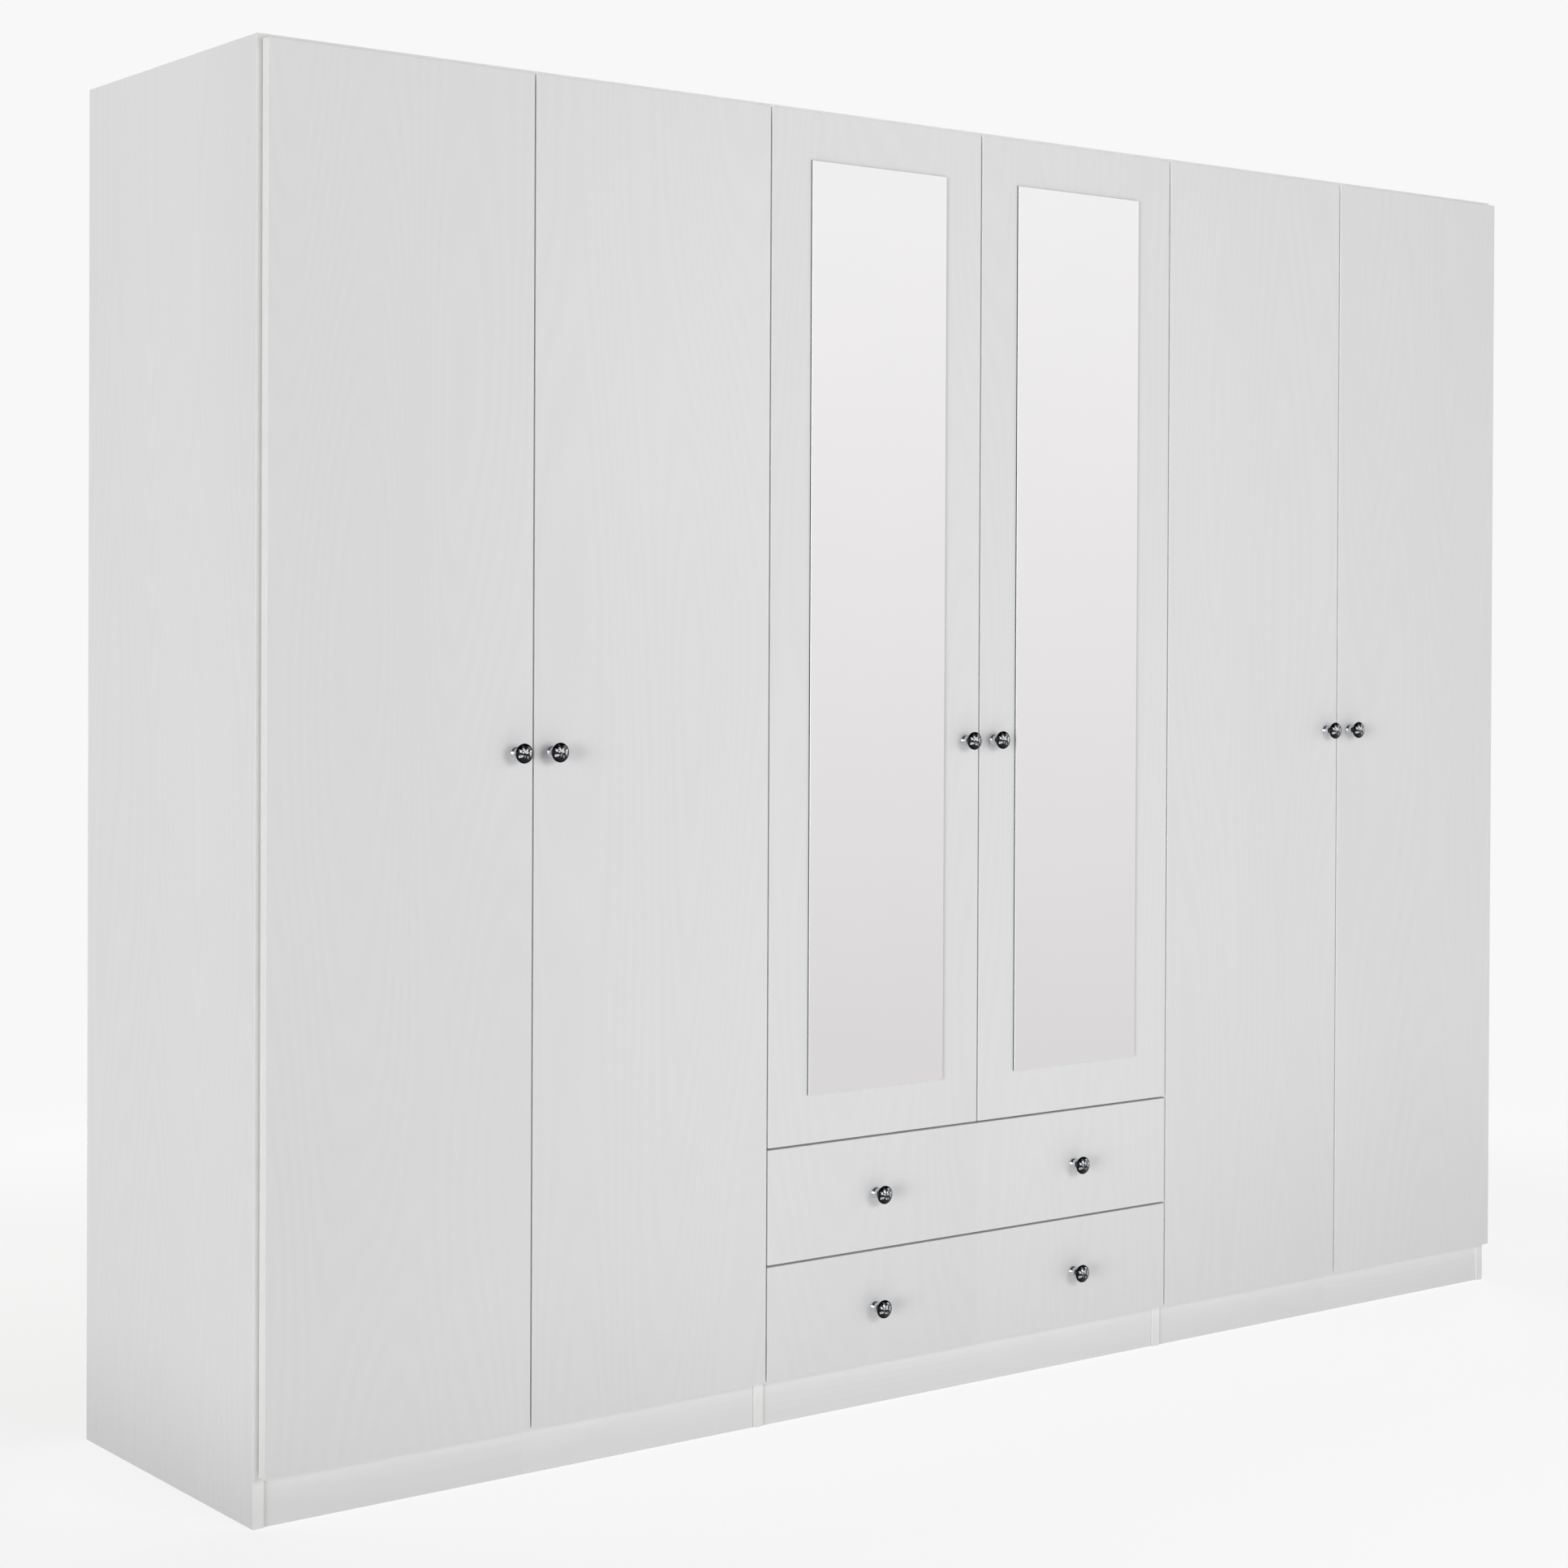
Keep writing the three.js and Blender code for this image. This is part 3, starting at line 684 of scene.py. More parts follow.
def spun(shape, profile, centre, axis, steps=KNOB_STEPS):
    """Spins (radius, height) points, in mm, round an axis that starts at centre."""
    axis = Vector(axis)
    spoke = axis.orthogonal().normalized()
    vertices = [
        shape.verts.new(centre + spoke * (radius * MM) + axis * (height * MM))
        for radius, height in profile
    ]
    edges = [shape.edges.new(pair) for pair in zip(vertices, vertices[1:])]
    bmesh.ops.spin(
        shape,
        geom=vertices + edges,
        cent=centre,
        axis=axis,
        angle=math.tau,
        steps=steps,
        use_merge=True,
    )
    bmesh.ops.remove_doubles(shape, verts=shape.verts, dist=MERGE_WITHIN)


# Each ring of the stone: number of points, turn as a share of one step, radius, height.
STONE_RINGS = (
    (1, 0.0, 0.0, STONE_TIP_AT),
    (8, 0.0, 3.4, STONE_TIP_AT - 0.25),
    (12, 0.5, 6.4, STONE_TIP_AT - 0.85),
    (16, 0.5, 9.2, STONE_TIP_AT - 1.7),
    (24, 0.0, SEAT_RADIUS - STONE_PLAY, SEAT_AT - 0.1),
    (24, 0.0, SEAT_RADIUS - STONE_PLAY, SEAT_AT - 0.45),
)
# The facet pattern: bright silver, or a painted dark or grey reflection, with painted shade on the
# stone's lower left.
FLASH_SECTORS, FLASH_RING_WIDTH = 32, 1.9
SECTOR_STRIDE, RING_STRIDE, PAINTED_SHADE_RINGS = 3, 5, 3
PAINTED_REFLECTION_PATTERN = (1, 0, 1, 2, 1, 1, 0, 1, 2, 1, 1, 0, 1, 2, 1, 1, 1)
PAINTED_SHADE_FROM, PAINTED_SHADE_TO = 3.6, 5.4  # the stone's lower left, in radians round from +X


def cut_stone(centre, outwards):
    stone = bmesh.new()
    for count, phase, radius, height in STONE_RINGS:
        for index in range(count):
            angle = math.tau * (index + phase) / count
            spoke = Vector((math.cos(angle), 0, math.sin(angle))) * radius * MM
            stone.verts.new(centre + outwards * height * MM + spoke)
    bmesh.ops.convex_hull(stone, input=stone.verts)
    bmesh.ops.recalc_face_normals(stone, faces=stone.faces)
    for face in stone.faces:
        middle = face.calc_center_median() - centre
        angle = math.atan2(middle.z, middle.x) % math.tau
        sector = int(angle * FLASH_SECTORS / math.tau)
        ring = int(Vector((middle.x, middle.z)).length / (FLASH_RING_WIDTH * MM))
        step = sector * SECTOR_STRIDE + ring * RING_STRIDE
        # Each facet gets bright silver or a painted dark or grey reflection from the pattern; the
        # outer rings' lower left gets painted shade.
        painted_reflection = PAINTED_REFLECTION_PATTERN[step % len(PAINTED_REFLECTION_PATTERN)]
        painted_shade = ring > PAINTED_SHADE_RINGS and PAINTED_SHADE_FROM < angle < PAINTED_SHADE_TO
        face.material_index = 1 if painted_shade else painted_reflection
    return stone


def add_knob(node):
    low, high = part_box(node)
    centre = Vector(((low.x + high.x) / 2, FRONT_FACE, (low.z + high.z) / 2))
    outwards = Vector((0, -1, 0))
    metal = bmesh.new()
    spun(metal, knob_profile(), centre, outwards)
    # From the neck outwards the metal gets the painted dark reflection in place of chrome.
    for face in metal.faces:
        reach = (centre.y - face.calc_center_median().y) / MM
        face.material_index = 1 if reach > PAINTED_DARK_FROM else 0
    body = body_of(node)
    finishes = [chrome, chrome_painted_dark_reflection]
    make_piece(f"{node}_metal", metal, body, finishes, [node], KNOB_SMOOTH)
    stone = cut_stone(centre, outwards)
    facets = [stone_bright, stone_painted_dark_reflection, stone_painted_grey_reflection]
    make_piece(f"{node}_stone", stone, body, facets)


knob_nodes = [f"{door}_knob" for door in DOORS]
knob_nodes += [f"{drawer}_{side}_knob" for drawer in DRAWERS for side in ("left", "right")]
for node in knob_nodes:
    add_knob(node)
print("knobs made:", len(knob_nodes))

# %% [markdown]
# ## Concealed hinges
# Each hinge has two halves. On the upright sit a cross-shaped plate with two screws and a
# pressed steel arm. In the door sits a cup with a flange and two more screws. The packed
# model has the plate and arm at the top and bottom of each door; doors this heavy get a
# third hinge halfway, so it is added here. Blocks with eased edges make the pressed
# parts, and a short profile spun round an axis makes everything round. The lever between
# the halves is a curved strap, which is put on neither half's body. A real hinge has two
# stiff levers there.

# %% Hinges
PLATE_THICKNESS, PLATE_HEIGHT, PLATE_LENGTH, PLATE_SETBACK = 2.4, 46.0, 17.0, 29.0
RISER_HEIGHT, RISER_LENGTH, RISER_SETBACK = 12.0, 26.0, 25.0
ARM_UNDERSIDE, ARM_TOP, ARM_HALF_HEIGHT, ARM_CLEARANCE, ARM_REACH = 4.6, 11.0, 7.0, 1.5, 58.0
SCREW_HEAD_RADIUS, SCREW_SPREAD = 3.6, 16.0
SCREW_PROFILE = [(0, 0), (SCREW_HEAD_RADIUS, 0), (SCREW_HEAD_RADIUS, 0.5), (2.7, 1.3)]
SCREW_PROFILE += [(1.5, 1.5), (1.2, 0.9), (0, 0.9)]
PLATE_EASE, RISER_EASE, ARM_EASE = 0.8, 0.6, 1.6
ARM_SCREWS_AT = (20.0, 40.0)
ROUND_STEPS = 20
FITTING_SMOOTH = math.radians(35)


def eased_block(shape, low, high, width):
    part = bmesh.new()
    add_block(part, low, high)
    round_edges(part, width)
    mesh = bpy.data.meshes.new("part")
    part.to_mesh(mesh)
    part.free()
    shape.from_mesh(mesh)
    bpy.data.meshes.remove(mesh)


def add_hinge_arm(door, place, level):
    """The half of a hinge that stays on the upright."""
    side = hinge_side(door)
    low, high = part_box(f"{door}_hinge_low")
    face = low.x if side < 0 else high.x

    def block(shape, near, far, front, back, half_height, width):
        a, b = face - side * near * MM, face - side * far * MM
        corner_low = (min(a, b), front, level - half_height * MM)
        corner_high = (max(a, b), back, level + half_height * MM)
        eased_block(shape, corner_low, corner_high, width * MM)

    shape = bmesh.new()
    plate_front = CARCASS_FRONT + PLATE_SETBACK * MM
    plate_back = plate_front + PLATE_LENGTH * MM
    block(shape, 0, PLATE_THICKNESS, plate_front, plate_back, PLATE_HEIGHT / 2, PLATE_EASE)
    riser_front = CARCASS_FRONT + RISER_SETBACK * MM
    riser_back = riser_front + RISER_LENGTH * MM
    block(shape, 0, ARM_UNDERSIDE, riser_front, riser_back, RISER_HEIGHT / 2, RISER_EASE)
    arm_front = FRONT_BACK + ARM_CLEARANCE * MM
    arm_back = arm_front + ARM_REACH * MM
    block(shape, ARM_UNDERSIDE, ARM_TOP, arm_front, arm_back, ARM_HALF_HEIGHT, ARM_EASE)
    inwards = Vector((-side, 0, 0))
    screws = bmesh.new()
    for lift in (-SCREW_SPREAD, SCREW_SPREAD):
        middle = (plate_front + plate_back) / 2
        foot = Vector((face - side * PLATE_THICKNESS * MM, middle, level + lift * MM))
        spun(screws, SCREW_PROFILE, foot, inwards, ROUND_STEPS)
    for along in ARM_SCREWS_AT:
        foot = Vector((face - side * ARM_TOP * MM, arm_front + along * MM, level))
        spun(screws, SCREW_PROFILE, foot, inwards, ROUND_STEPS)
    name = f"{door}_hinge_{place}"
    replaced = [name] if place != "middle" else []
    make_piece(f"{name}_arm", shape, "carcass", [hinge_steel], replaced)
    name = f"{name}_arm_screws"
    make_piece(name, screws, "carcass", [zinc_steel], (), FITTING_SMOOTH)


CUP_PROFILE = [(0, -10.0), (15.4, -10.0), (16.2, -9.2), (16.2, 0.2), (18.6, 0.2), (18.6, 1.0)]
CUP_PROFILE += [(16.9, 1.2), (15.6, 0.4), (15.6, -8.6), (14.8, -9.4), (0, -9.4)]
FLANGE_INNER, FLANGE_HALF_HEIGHT, FLANGE_NEAR, FLANGE_FAR = 16.2, 31.0, 3.6, 15.5
FLANGE_UNDERSIDE, FLANGE_THICKNESS, FLANGE_EASE = 0.1, 1.1, 0.4
FLANGE_SCREW_LIFT, FLANGE_SCREW_SHIFT = 24.0, 9.5


def add_hinge_cup(door, place, level):
    """The half of a hinge that moves with the door."""
    side = hinge_side(door)
    centre = cup_centre(door, level)
    shape = bmesh.new()
    spun(shape, CUP_PROFILE, centre, (0, 1, 0), KNOB_STEPS)
    near, far = centre.x - side * FLANGE_NEAR * MM, centre.x - side * FLANGE_FAR * MM
    foot_x = centre.x - side * FLANGE_SCREW_SHIFT * MM
    underside, top = FRONT_BACK + FLANGE_UNDERSIDE * MM, FRONT_BACK + FLANGE_THICKNESS * MM
    for direction in (-1, 1):
        inner = level + direction * FLANGE_INNER * MM
        outer = level + direction * FLANGE_HALF_HEIGHT * MM
        low = (min(near, far), underside, min(inner, outer))
        high = (max(near, far), top, max(inner, outer))
        eased_block(shape, low, high, FLANGE_EASE * MM)
        foot = Vector((foot_x, top, level + direction * FLANGE_SCREW_LIFT * MM))
        spun(shape, SCREW_PROFILE, foot, (0, 1, 0), ROUND_STEPS)
    name = f"{door}_hinge_{place}_cup"
    make_piece(name, shape, door, [hinge_steel], (), FITTING_SMOOTH)


LINK_ARM_END, LINK_CUP_END = (9.6, 18.0), (11.4, 5.0)  # from the pivot, across and back
LINK_THICKNESS, LINK_HALF_HEIGHT, LINK_EASE, LINK_BOW, LINK_STEPS = 2.2, 5.6, 0.5, 2.4, 12
CUP_FROM_PIVOT, PIVOT_FROM_BACK = 15.0, 14.0


def add_hinge_link(door, place, level):
    """The lever between the halves. It is put on neither body."""
    side = hinge_side(door)
    pivot_x = cup_centre(door, level).x + side * CUP_FROM_PIVOT * MM
    pivot_y = FRONT_BACK - PIVOT_FROM_BACK * MM

    def at(across, back):
        return Vector((pivot_x - side * across * MM, pivot_y + back * MM, level))

    start, end = at(*LINK_ARM_END), at(*LINK_CUP_END)
    shape = bmesh.new()
    half = Vector((LINK_THICKNESS / 2 * MM, 0, LINK_HALF_HEIGHT * MM))
    middle_x = Vector(((start.x + end.x) / 2, 0, 0))
    low = middle_x + Vector((0, end.y, level)) - half
    high = middle_x + Vector((0, start.y, level)) + half
    eased_block(shape, low, high, LINK_EASE * MM)
    for step in range(1, LINK_STEPS):
        cut_planes(shape, end.lerp(start, step / LINK_STEPS), (0, 1, 0))
    for vertex in shape.verts:
        share = (vertex.co.y - end.y) / (start.y - end.y)
        bow = LINK_BOW * MM * math.sin(math.pi * share)
        vertex.co.x += (start.x - end.x) * (share - 0.5) - side * bow
    name = f"{door}_hinge_{place}_link"
    bodies = ("carcass", door, start, end)
    make_piece(name, shape, bodies, [hinge_steel], (), FITTING_SMOOTH)


for door in DOORS:
    for place, level in hinge_levels[door].items():
        add_hinge_arm(door, place, level)
        add_hinge_cup(door, place, level)
        add_hinge_link(door, place, level)
print("hinges made:", len(DOORS) * 3)

# %% [markdown]
# ## Screws and stops on the back of the fronts
# A knob is held by one screw through the board, and its round head shows inside. White
# stops at the free edge's corners keep a door from banging on the carcass. Both are
# small spun domes, placed from the knob's own box and the door's own box.

# %% Knob screws and door stops
KNOB_SCREW_PROFILE = [(0, 0), (4.4, 0), (4.4, 0.9), (3.6, 2.0), (2.0, 2.6), (1.3, 2.6)]
KNOB_SCREW_PROFILE += [(1.1, 1.7), (0, 1.7)]
STOP_PROFILE = [(0, 0), (4.0, 0), (4.0, 0.8), (3.1, 1.6), (1.6, 2.0), (0, 2.1)]
STOP_FROM_END, STOP_FROM_EDGE = 5 * MM, 16 * MM
for node in knob_nodes:
    low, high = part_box(node)
    head = bmesh.new()
    centre = Vector(((low.x + high.x) / 2, FRONT_BACK, (low.z + high.z) / 2))
    spun(head, KNOB_SCREW_PROFILE, centre, (0, 1, 0), ROUND_STEPS)
    name, body = f"{node}_screw", body_of(node)
    make_piece(name, head, body, [zinc_steel], (), FITTING_SMOOTH)
for door in DOORS:
    low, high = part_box(door)
    free_edge = high.x if hinge_side(door) < 0 else low.x
    across = free_edge + hinge_side(door) * STOP_FROM_EDGE
    stops = bmesh.new()
    for level in (low.z + STOP_FROM_END, high.z - STOP_FROM_END):
        spun(stops, STOP_PROFILE, Vector((across, FRONT_BACK, level)), (0, 1, 0), ROUND_STEPS)
    make_piece(f"{door}_stops", stops, door, [white_nylon], (), KNOB_SMOOTH)
print("knob screws:", len(knob_nodes), "doors with stops:", len(DOORS))

# %% [markdown]
# ## Hanging rails and their sockets
# The rails are oval chromed tube. Each end sits in a moulded socket that is screwed to the
# upright: a flange with a collar round the tube. The socket starts as one oval loop, which
# is extruded again and again, each new loop being moved to the next radius and depth.

# %% Rails and sockets
SOCKET_SEGMENTS = 40
RAIL_RADIUS, RAIL_END_PLAY = 7.5, 1.0
SOCKET_STEPS = [(13.5, 0.1), (13.5, 2.2), (12.9, 2.8), (10.6, 2.8), (10.2, 3.4), (10.2, 12.4)]
SOCKET_STEPS += [(9.8, 12.8), (8.4, 12.8), (8.1, 12.5), (8.1, 1.2)]


def oval_tube(shape, steps, centre, inwards, stretch):
    """Extrudes an oval loop through (radius, depth) steps, in mm, and closes its ends."""

    def placed(vertex_angle, radius, depth):
        across = radius * math.cos(vertex_angle) * MM
        upright = radius * math.sin(vertex_angle) * MM
        upright += math.copysign(stretch, upright)
        return centre + Vector((inwards * depth * MM, across, upright))

    count = SOCKET_SEGMENTS
    angles = [math.tau * (step + 0.5) / count for step in range(count)]
    loop = bmesh.ops.create_circle(shape, cap_ends=False, segments=count, radius=1.0)["verts"]
    for vertex, angle in zip(loop, angles):
        vertex.co = placed(angle, *steps[0])
    edges = [shape.edges.get((a, b)) for a, b in zip(loop, loop[1:] + loop[:1])]
    bmesh.ops.contextual_create(shape, geom=edges)
    for radius, depth in steps[1:]:
        made = bmesh.ops.extrude_edge_only(shape, edges=edges)["geom"]
        edges = [item for item in made if isinstance(item, bmesh.types.BMEdge)]
        for vertex in [item for item in made if isinstance(item, bmesh.types.BMVert)]:
            offset = vertex.co - centre
            upright = offset.z - math.copysign(stretch, offset.z)
            vertex.co = placed(math.atan2(upright, offset.y), radius, depth)
    bmesh.ops.contextual_create(shape, geom=edges)


for bay in ("left", "right"):
    low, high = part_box(f"{bay}_rail")
    frame["nodes"][f"{bay}_rail"].material_slots[0].material = chrome
    stretch = (high.z - low.z) / 2 - RAIL_RADIUS * MM
    middle_y, middle_z = (low.y + high.y) / 2, (low.z + high.z) / 2
    play = RAIL_END_PLAY * MM
    for end, x, inwards in (("left", low.x - play, 1), ("right", high.x + play, -1)):
        socket = bmesh.new()
        oval_tube(socket, SOCKET_STEPS, Vector((x, middle_y, middle_z)), inwards, stretch)
        name = f"{bay}_rail_{end}_socket"
        make_piece(name, socket, "carcass", [white_nylon], (), FITTING_SMOOTH)
print("rails with sockets: 2")

# %% [markdown]
# ## Drawer runners
# A roller runner is two folded strips. The fixed channel is screwed to the upright and has
# a nylon roller at its front. The moving strip wraps the drawer side's lower edge and has
# a roller at its back, which runs in the channel. The strips are thin blocks, the rollers
# spun profiles with a slight crown, and each rides on the body it is fixed to.

# %% Runners
STRIP_THICKNESS, STRIP_RISE, STRIP_FOOT, STRIP_EASE = 1.2, 19.0, 11.0, 0.25
STRIP_FRONT_GAP, STRIP_BACK_GAP, STRIP_SIDE_PLAY, STRIP_FOOT_PLAY = 1.0, 4.0, 0.05, 0.1
ROLLER_RADIUS, ROLLER_WIDTH, ROLLER_FROM_WALL, ROLLER_STEPS = 10.6, 5.2, 1.5, 32
ROLLER_SMOOTH = math.radians(30)
AXLE_END = ROLLER_WIDTH + 0.9
ROLLER_PROFILE = [(0, 0), (3.2, 0), (3.2, 0.6), (9.9, 0.6), (ROLLER_RADIUS, 1.4)]
ROLLER_PROFILE += [(ROLLER_RADIUS, 4.4), (9.9, ROLLER_WIDTH), (3.4, ROLLER_WIDTH)]
ROLLER_PROFILE += [(3.0, AXLE_END), (0, AXLE_END)]
ROLLER_FROM_END = 14 * MM
for drawer in DRAWERS:
    box_low, box_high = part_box(f"{drawer}_box")
    frame["nodes"][f"{drawer}_box"].material_slots[0].material = wrap_foil
    for side_name, side in (("left", -1), ("right", 1)):
        node = f"{drawer}_{side_name}_runner"
        frame["nodes"][node].material_slots[0].material = runner_enamel
        low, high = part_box(node)
        wall = low.x if side < 0 else high.x
        box_side = box_low.x if side < 0 else box_high.x
        axle_z = (low.z + high.z) / 2
        inwards = Vector((-side, 0, 0))
        strip = bmesh.new()
        start, end = low.y + STRIP_FRONT_GAP * MM, high.y - STRIP_BACK_GAP * MM
        outer = box_side + side * STRIP_THICKNESS * MM
        inner = box_side + side * STRIP_SIDE_PLAY * MM
        underside = box_low.z - STRIP_THICKNESS * MM
        top = box_low.z + STRIP_RISE * MM
        low_corner = (min(outer, inner), start, underside)
        high_corner = (max(outer, inner), end, top)
        eased_block(strip, low_corner, high_corner, STRIP_EASE * MM)
        toe = box_side - side * STRIP_FOOT * MM
        low_corner = (min(inner, toe), start, underside)
        high_corner = (max(inner, toe), end, box_low.z - STRIP_FOOT_PLAY * MM)
        eased_block(strip, low_corner, high_corner, STRIP_EASE * MM)
        name = f"{drawer}_{side_name}_strip"
        make_piece(name, strip, drawer, [runner_enamel])
        at_wall = wall - side * ROLLER_FROM_WALL * MM
        front = Vector((at_wall, low.y + ROLLER_FROM_END, axle_z))
        back = Vector((outer, high.y - ROLLER_FROM_END, axle_z))
        rollers = (("front", "carcass", front, inwards), ("back", drawer, back, -inwards))
        for place, body, centre, axis in rollers:
            roller = bmesh.new()
            spun(roller, ROLLER_PROFILE, centre, axis, ROLLER_STEPS)
            name = f"{drawer}_{side_name}_{place}_roller"
            make_piece(name, roller, body, [white_nylon], (), ROLLER_SMOOTH)
print("runners with rollers: 4")

# %% [markdown]
# ## Back panel and drawer bottoms
# These are one sheet of hardboard each: smooth and lacquered towards the room or the
# drawer's inside, brown and screen-marked on the other face. Pins with flat heads hold
# the back to every upright, top and base. One low cone per pin keeps them light.

# %% Hardboard sheets and pins
PIN_HEAD_RADIUS, PIN_HEAD_HEIGHT, PIN_SPACING = 2.6 * MM, 0.7 * MM, 140 * MM
PIN_INSET, PIN_END_INSET, ROW_END_INSET, PIN_SINK = 8 * MM, 24 * MM, 60 * MM, 0.1 * MM
PIN_SEGMENTS, PIN_TAPER = 10, 0.7


def add_sheet(node, white_side):
    low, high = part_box(node)
    shape = bmesh.new()
    add_block(shape, low, high)
    bmesh.ops.recalc_face_normals(shape, faces=shape.faces)
    for face in shape.faces:
        face.material_index = 0 if face.normal.dot(Vector(white_side)) > FACING else 1
    finishes = [white_lacquer, brown_board]
    make_piece(f"{node}_sheet", shape, body_of(node), finishes, [node])


add_sheet("back_panel", (0, -1, 0))
for drawer in DRAWERS:
    add_sheet(f"{drawer}_bottom", (0, 0, 1))

back_low, back_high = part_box("back_panel")
uprights = ("left_side", "left_divider", "right_divider", "right_side")
columns = [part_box(node) for node in uprights]
rows = [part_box(f"{bay}_{row}") for row in ("top", "base") for bay in ("left", "centre", "right")]


def evenly(start, end, spacing):
    count = max(1, round((end - start) / spacing))
    return [start + (end - start) * step / count for step in range(count + 1)]


pin_places = []
for low, high in columns:
    middle = min(max((low.x + high.x) / 2, back_low.x + PIN_INSET), back_high.x - PIN_INSET)
    ends = back_low.z + PIN_END_INSET, back_high.z - PIN_END_INSET
    pin_places += [(middle, z) for z in evenly(*ends, PIN_SPACING)]
for low, high in rows:
    middle = min((low.z + high.z) / 2, back_high.z - PIN_INSET)
    ends = low.x + ROW_END_INSET, high.x - ROW_END_INSET
    pin_places += [(x, middle) for x in evenly(*ends, PIN_SPACING)]
pins = bmesh.new()
turn_back = Matrix.Rotation(math.radians(-90), 4, "X")
pin_y = back_high.y + PIN_HEAD_HEIGHT / 2 - PIN_SINK
for x, z in pin_places:
    bmesh.ops.create_cone(
        pins,
        cap_ends=True,
        segments=PIN_SEGMENTS,
        radius1=PIN_HEAD_RADIUS,
        radius2=PIN_HEAD_RADIUS * PIN_TAPER,
        depth=PIN_HEAD_HEIGHT,
        matrix=Matrix.Translation((x, pin_y, z)) @ turn_back,
    )
make_piece("back_panel_pins", pins, "carcass", [zinc_steel])
print("pins:", len(pin_places))

# %% [markdown]
# ## Shelf supports and cam locks
# Steel pins with a flat pad carry the shelves, four to each. The top boards are drawn up
# to the uprights by cam locks, whose round faces show on their undersides. Every one is a
# small spun profile, and all those on one board share one piece.

# %% Shelf supports and cam locks
SUPPORT_PROFILE = [(0, 0.1), (4.6, 0.1), (4.6, 1.4), (2.6, 1.6), (2.6, 8.6), (2.2, 9.2), (0, 9.2)]
CAM_PROFILE = [(0, 0), (7.6, 0), (7.6, 0.3), (7.1, 0.7), (2.2, 0.7), (1.9, 0.3), (0, 0.3)]
SUPPORT_FROM_EDGE, SUPPORT_PLAY, SUPPORT_DROP = 55 * MM, 0.2 * MM, 4.7 * MM
CAM_FROM_END, CAM_FROM_EDGE, CAM_STEPS = 34 * MM, 60 * MM, 24
for node in ("left_hat_shelf", "centre_shelf", "right_hat_shelf"):
    low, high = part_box(node)
    supports = bmesh.new()
    ends = ((low.x - SUPPORT_PLAY, (1, 0, 0)), (high.x + SUPPORT_PLAY, (-1, 0, 0)))
    for x, axis in ends:
        for y in (low.y + SUPPORT_FROM_EDGE, high.y - SUPPORT_FROM_EDGE):
            foot = Vector((x, y, low.z - SUPPORT_DROP))
            spun(supports, SUPPORT_PROFILE, foot, axis, ROUND_STEPS)
    name = f"{node}_supports"
    make_piece(name, supports, "carcass", [hinge_steel], (), FITTING_SMOOTH)
for bay in ("left", "centre", "right"):
    low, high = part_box(f"{bay}_top")
    cams = bmesh.new()
    for x in (low.x + CAM_FROM_END, high.x - CAM_FROM_END):
        for y in (low.y + CAM_FROM_EDGE, high.y - CAM_FROM_EDGE):
            spun(cams, CAM_PROFILE, Vector((x, y, low.z)), (0, 0, -1), CAM_STEPS)
    name = f"{bay}_top_cams"
    make_piece(name, cams, "carcass", [zinc_steel], (), FITTING_SMOOTH)
print("shelves with supports: 3, tops with cams: 3")

# %% [markdown]
# ## Floor, light and surroundings
# A catalogue studio is a white sweep: floor and wall run into each other without a line.
# Here the floor is a disc that lets the room show through towards its rim, and near the
# wardrobe it only darkens a little where the wardrobe shades it. The room is an even
# white behind, a little greyer low down in front, which is what the mirrors see, and
# darker overhead, so that chrome has something dark to mirror. One broad sun from the
# left gives the side its brightness and the knobs their soft shadows, a soft lamp fills
# the front, and three more light the top, the right side and the back for other views.

# %% Floor
FLOOR_RADIUS, FLOOR_SEGMENTS, FADE_FROM, FADE_TO = 3.2, 96, 1.9, 3.1
FLOOR_GREY = 0.30
GLOW_LIT, GLOW_SEEN = 0.50, 0.79  # the floor glows less on the wardrobe than to the eye
floor_material = bpy.data.materials.new("white_sweep_floor")
floor_material.use_nodes = True
floor_material.node_tree.nodes.clear()
matt_settings = {"Color": (FLOOR_GREY, FLOOR_GREY, FLOOR_GREY, 1), "Roughness": 0.0}
matt = add_node(floor_material, "ShaderNodeBsdfDiffuse", matt_settings)
rays = add_node(floor_material, "ShaderNodeLightPath")
glow_range = {"To Min": GLOW_LIT, "To Max": GLOW_SEEN}
to_eye = {"Value": (rays, "Is Camera Ray")}
glow_level = add_node(floor_material, "ShaderNodeMapRange", glow_range, to_eye)
glow_links = {"Strength": (glow_level, 0)}
glow = add_node(floor_material, "ShaderNodeEmission", {"Color": (1, 1, 1, 1)}, glow_links)
lit = add_node(floor_material, "ShaderNodeAddShader", links={0: (matt, 0), 1: (glow, 0)})
see_through = add_node(floor_material, "ShaderNodeBsdfTransparent")
floor_place = add_node(floor_material, "ShaderNodeTexCoord")
reach = {"operation": "LENGTH"}
far = add_node(floor_material, "ShaderNodeVectorMath", reach, {0: (floor_place, "Object")})
fade_range = {"From Min": FADE_FROM, "From Max": FADE_TO}
fade = add_node(floor_material, "ShaderNodeMapRange", fade_range, {"Value": (far, "Value")})
fade.interpolation_type = "SMOOTHSTEP"
fade_links = {0: (fade, 0), 1: (lit, 0), 2: (see_through, 0)}
faded = add_node(floor_material, "ShaderNodeMixShader", links=fade_links)
add_node(floor_material, "ShaderNodeOutputMaterial", links={"Surface": (faded, 0)})
floor_shape = bmesh.new()
bmesh.ops.create_circle(
    floor_shape, cap_ends=True, segments=FLOOR_SEGMENTS, radius=FLOOR_RADIUS
)
floor_mesh = bpy.data.meshes.new("pale_floor")
floor_shape.to_mesh(floor_mesh)
floor_shape.free()
floor_mesh.materials.append(floor_material)
floor = bpy.data.objects.new("pale_floor", floor_mesh)
bpy.context.scene.collection.objects.link(floor)

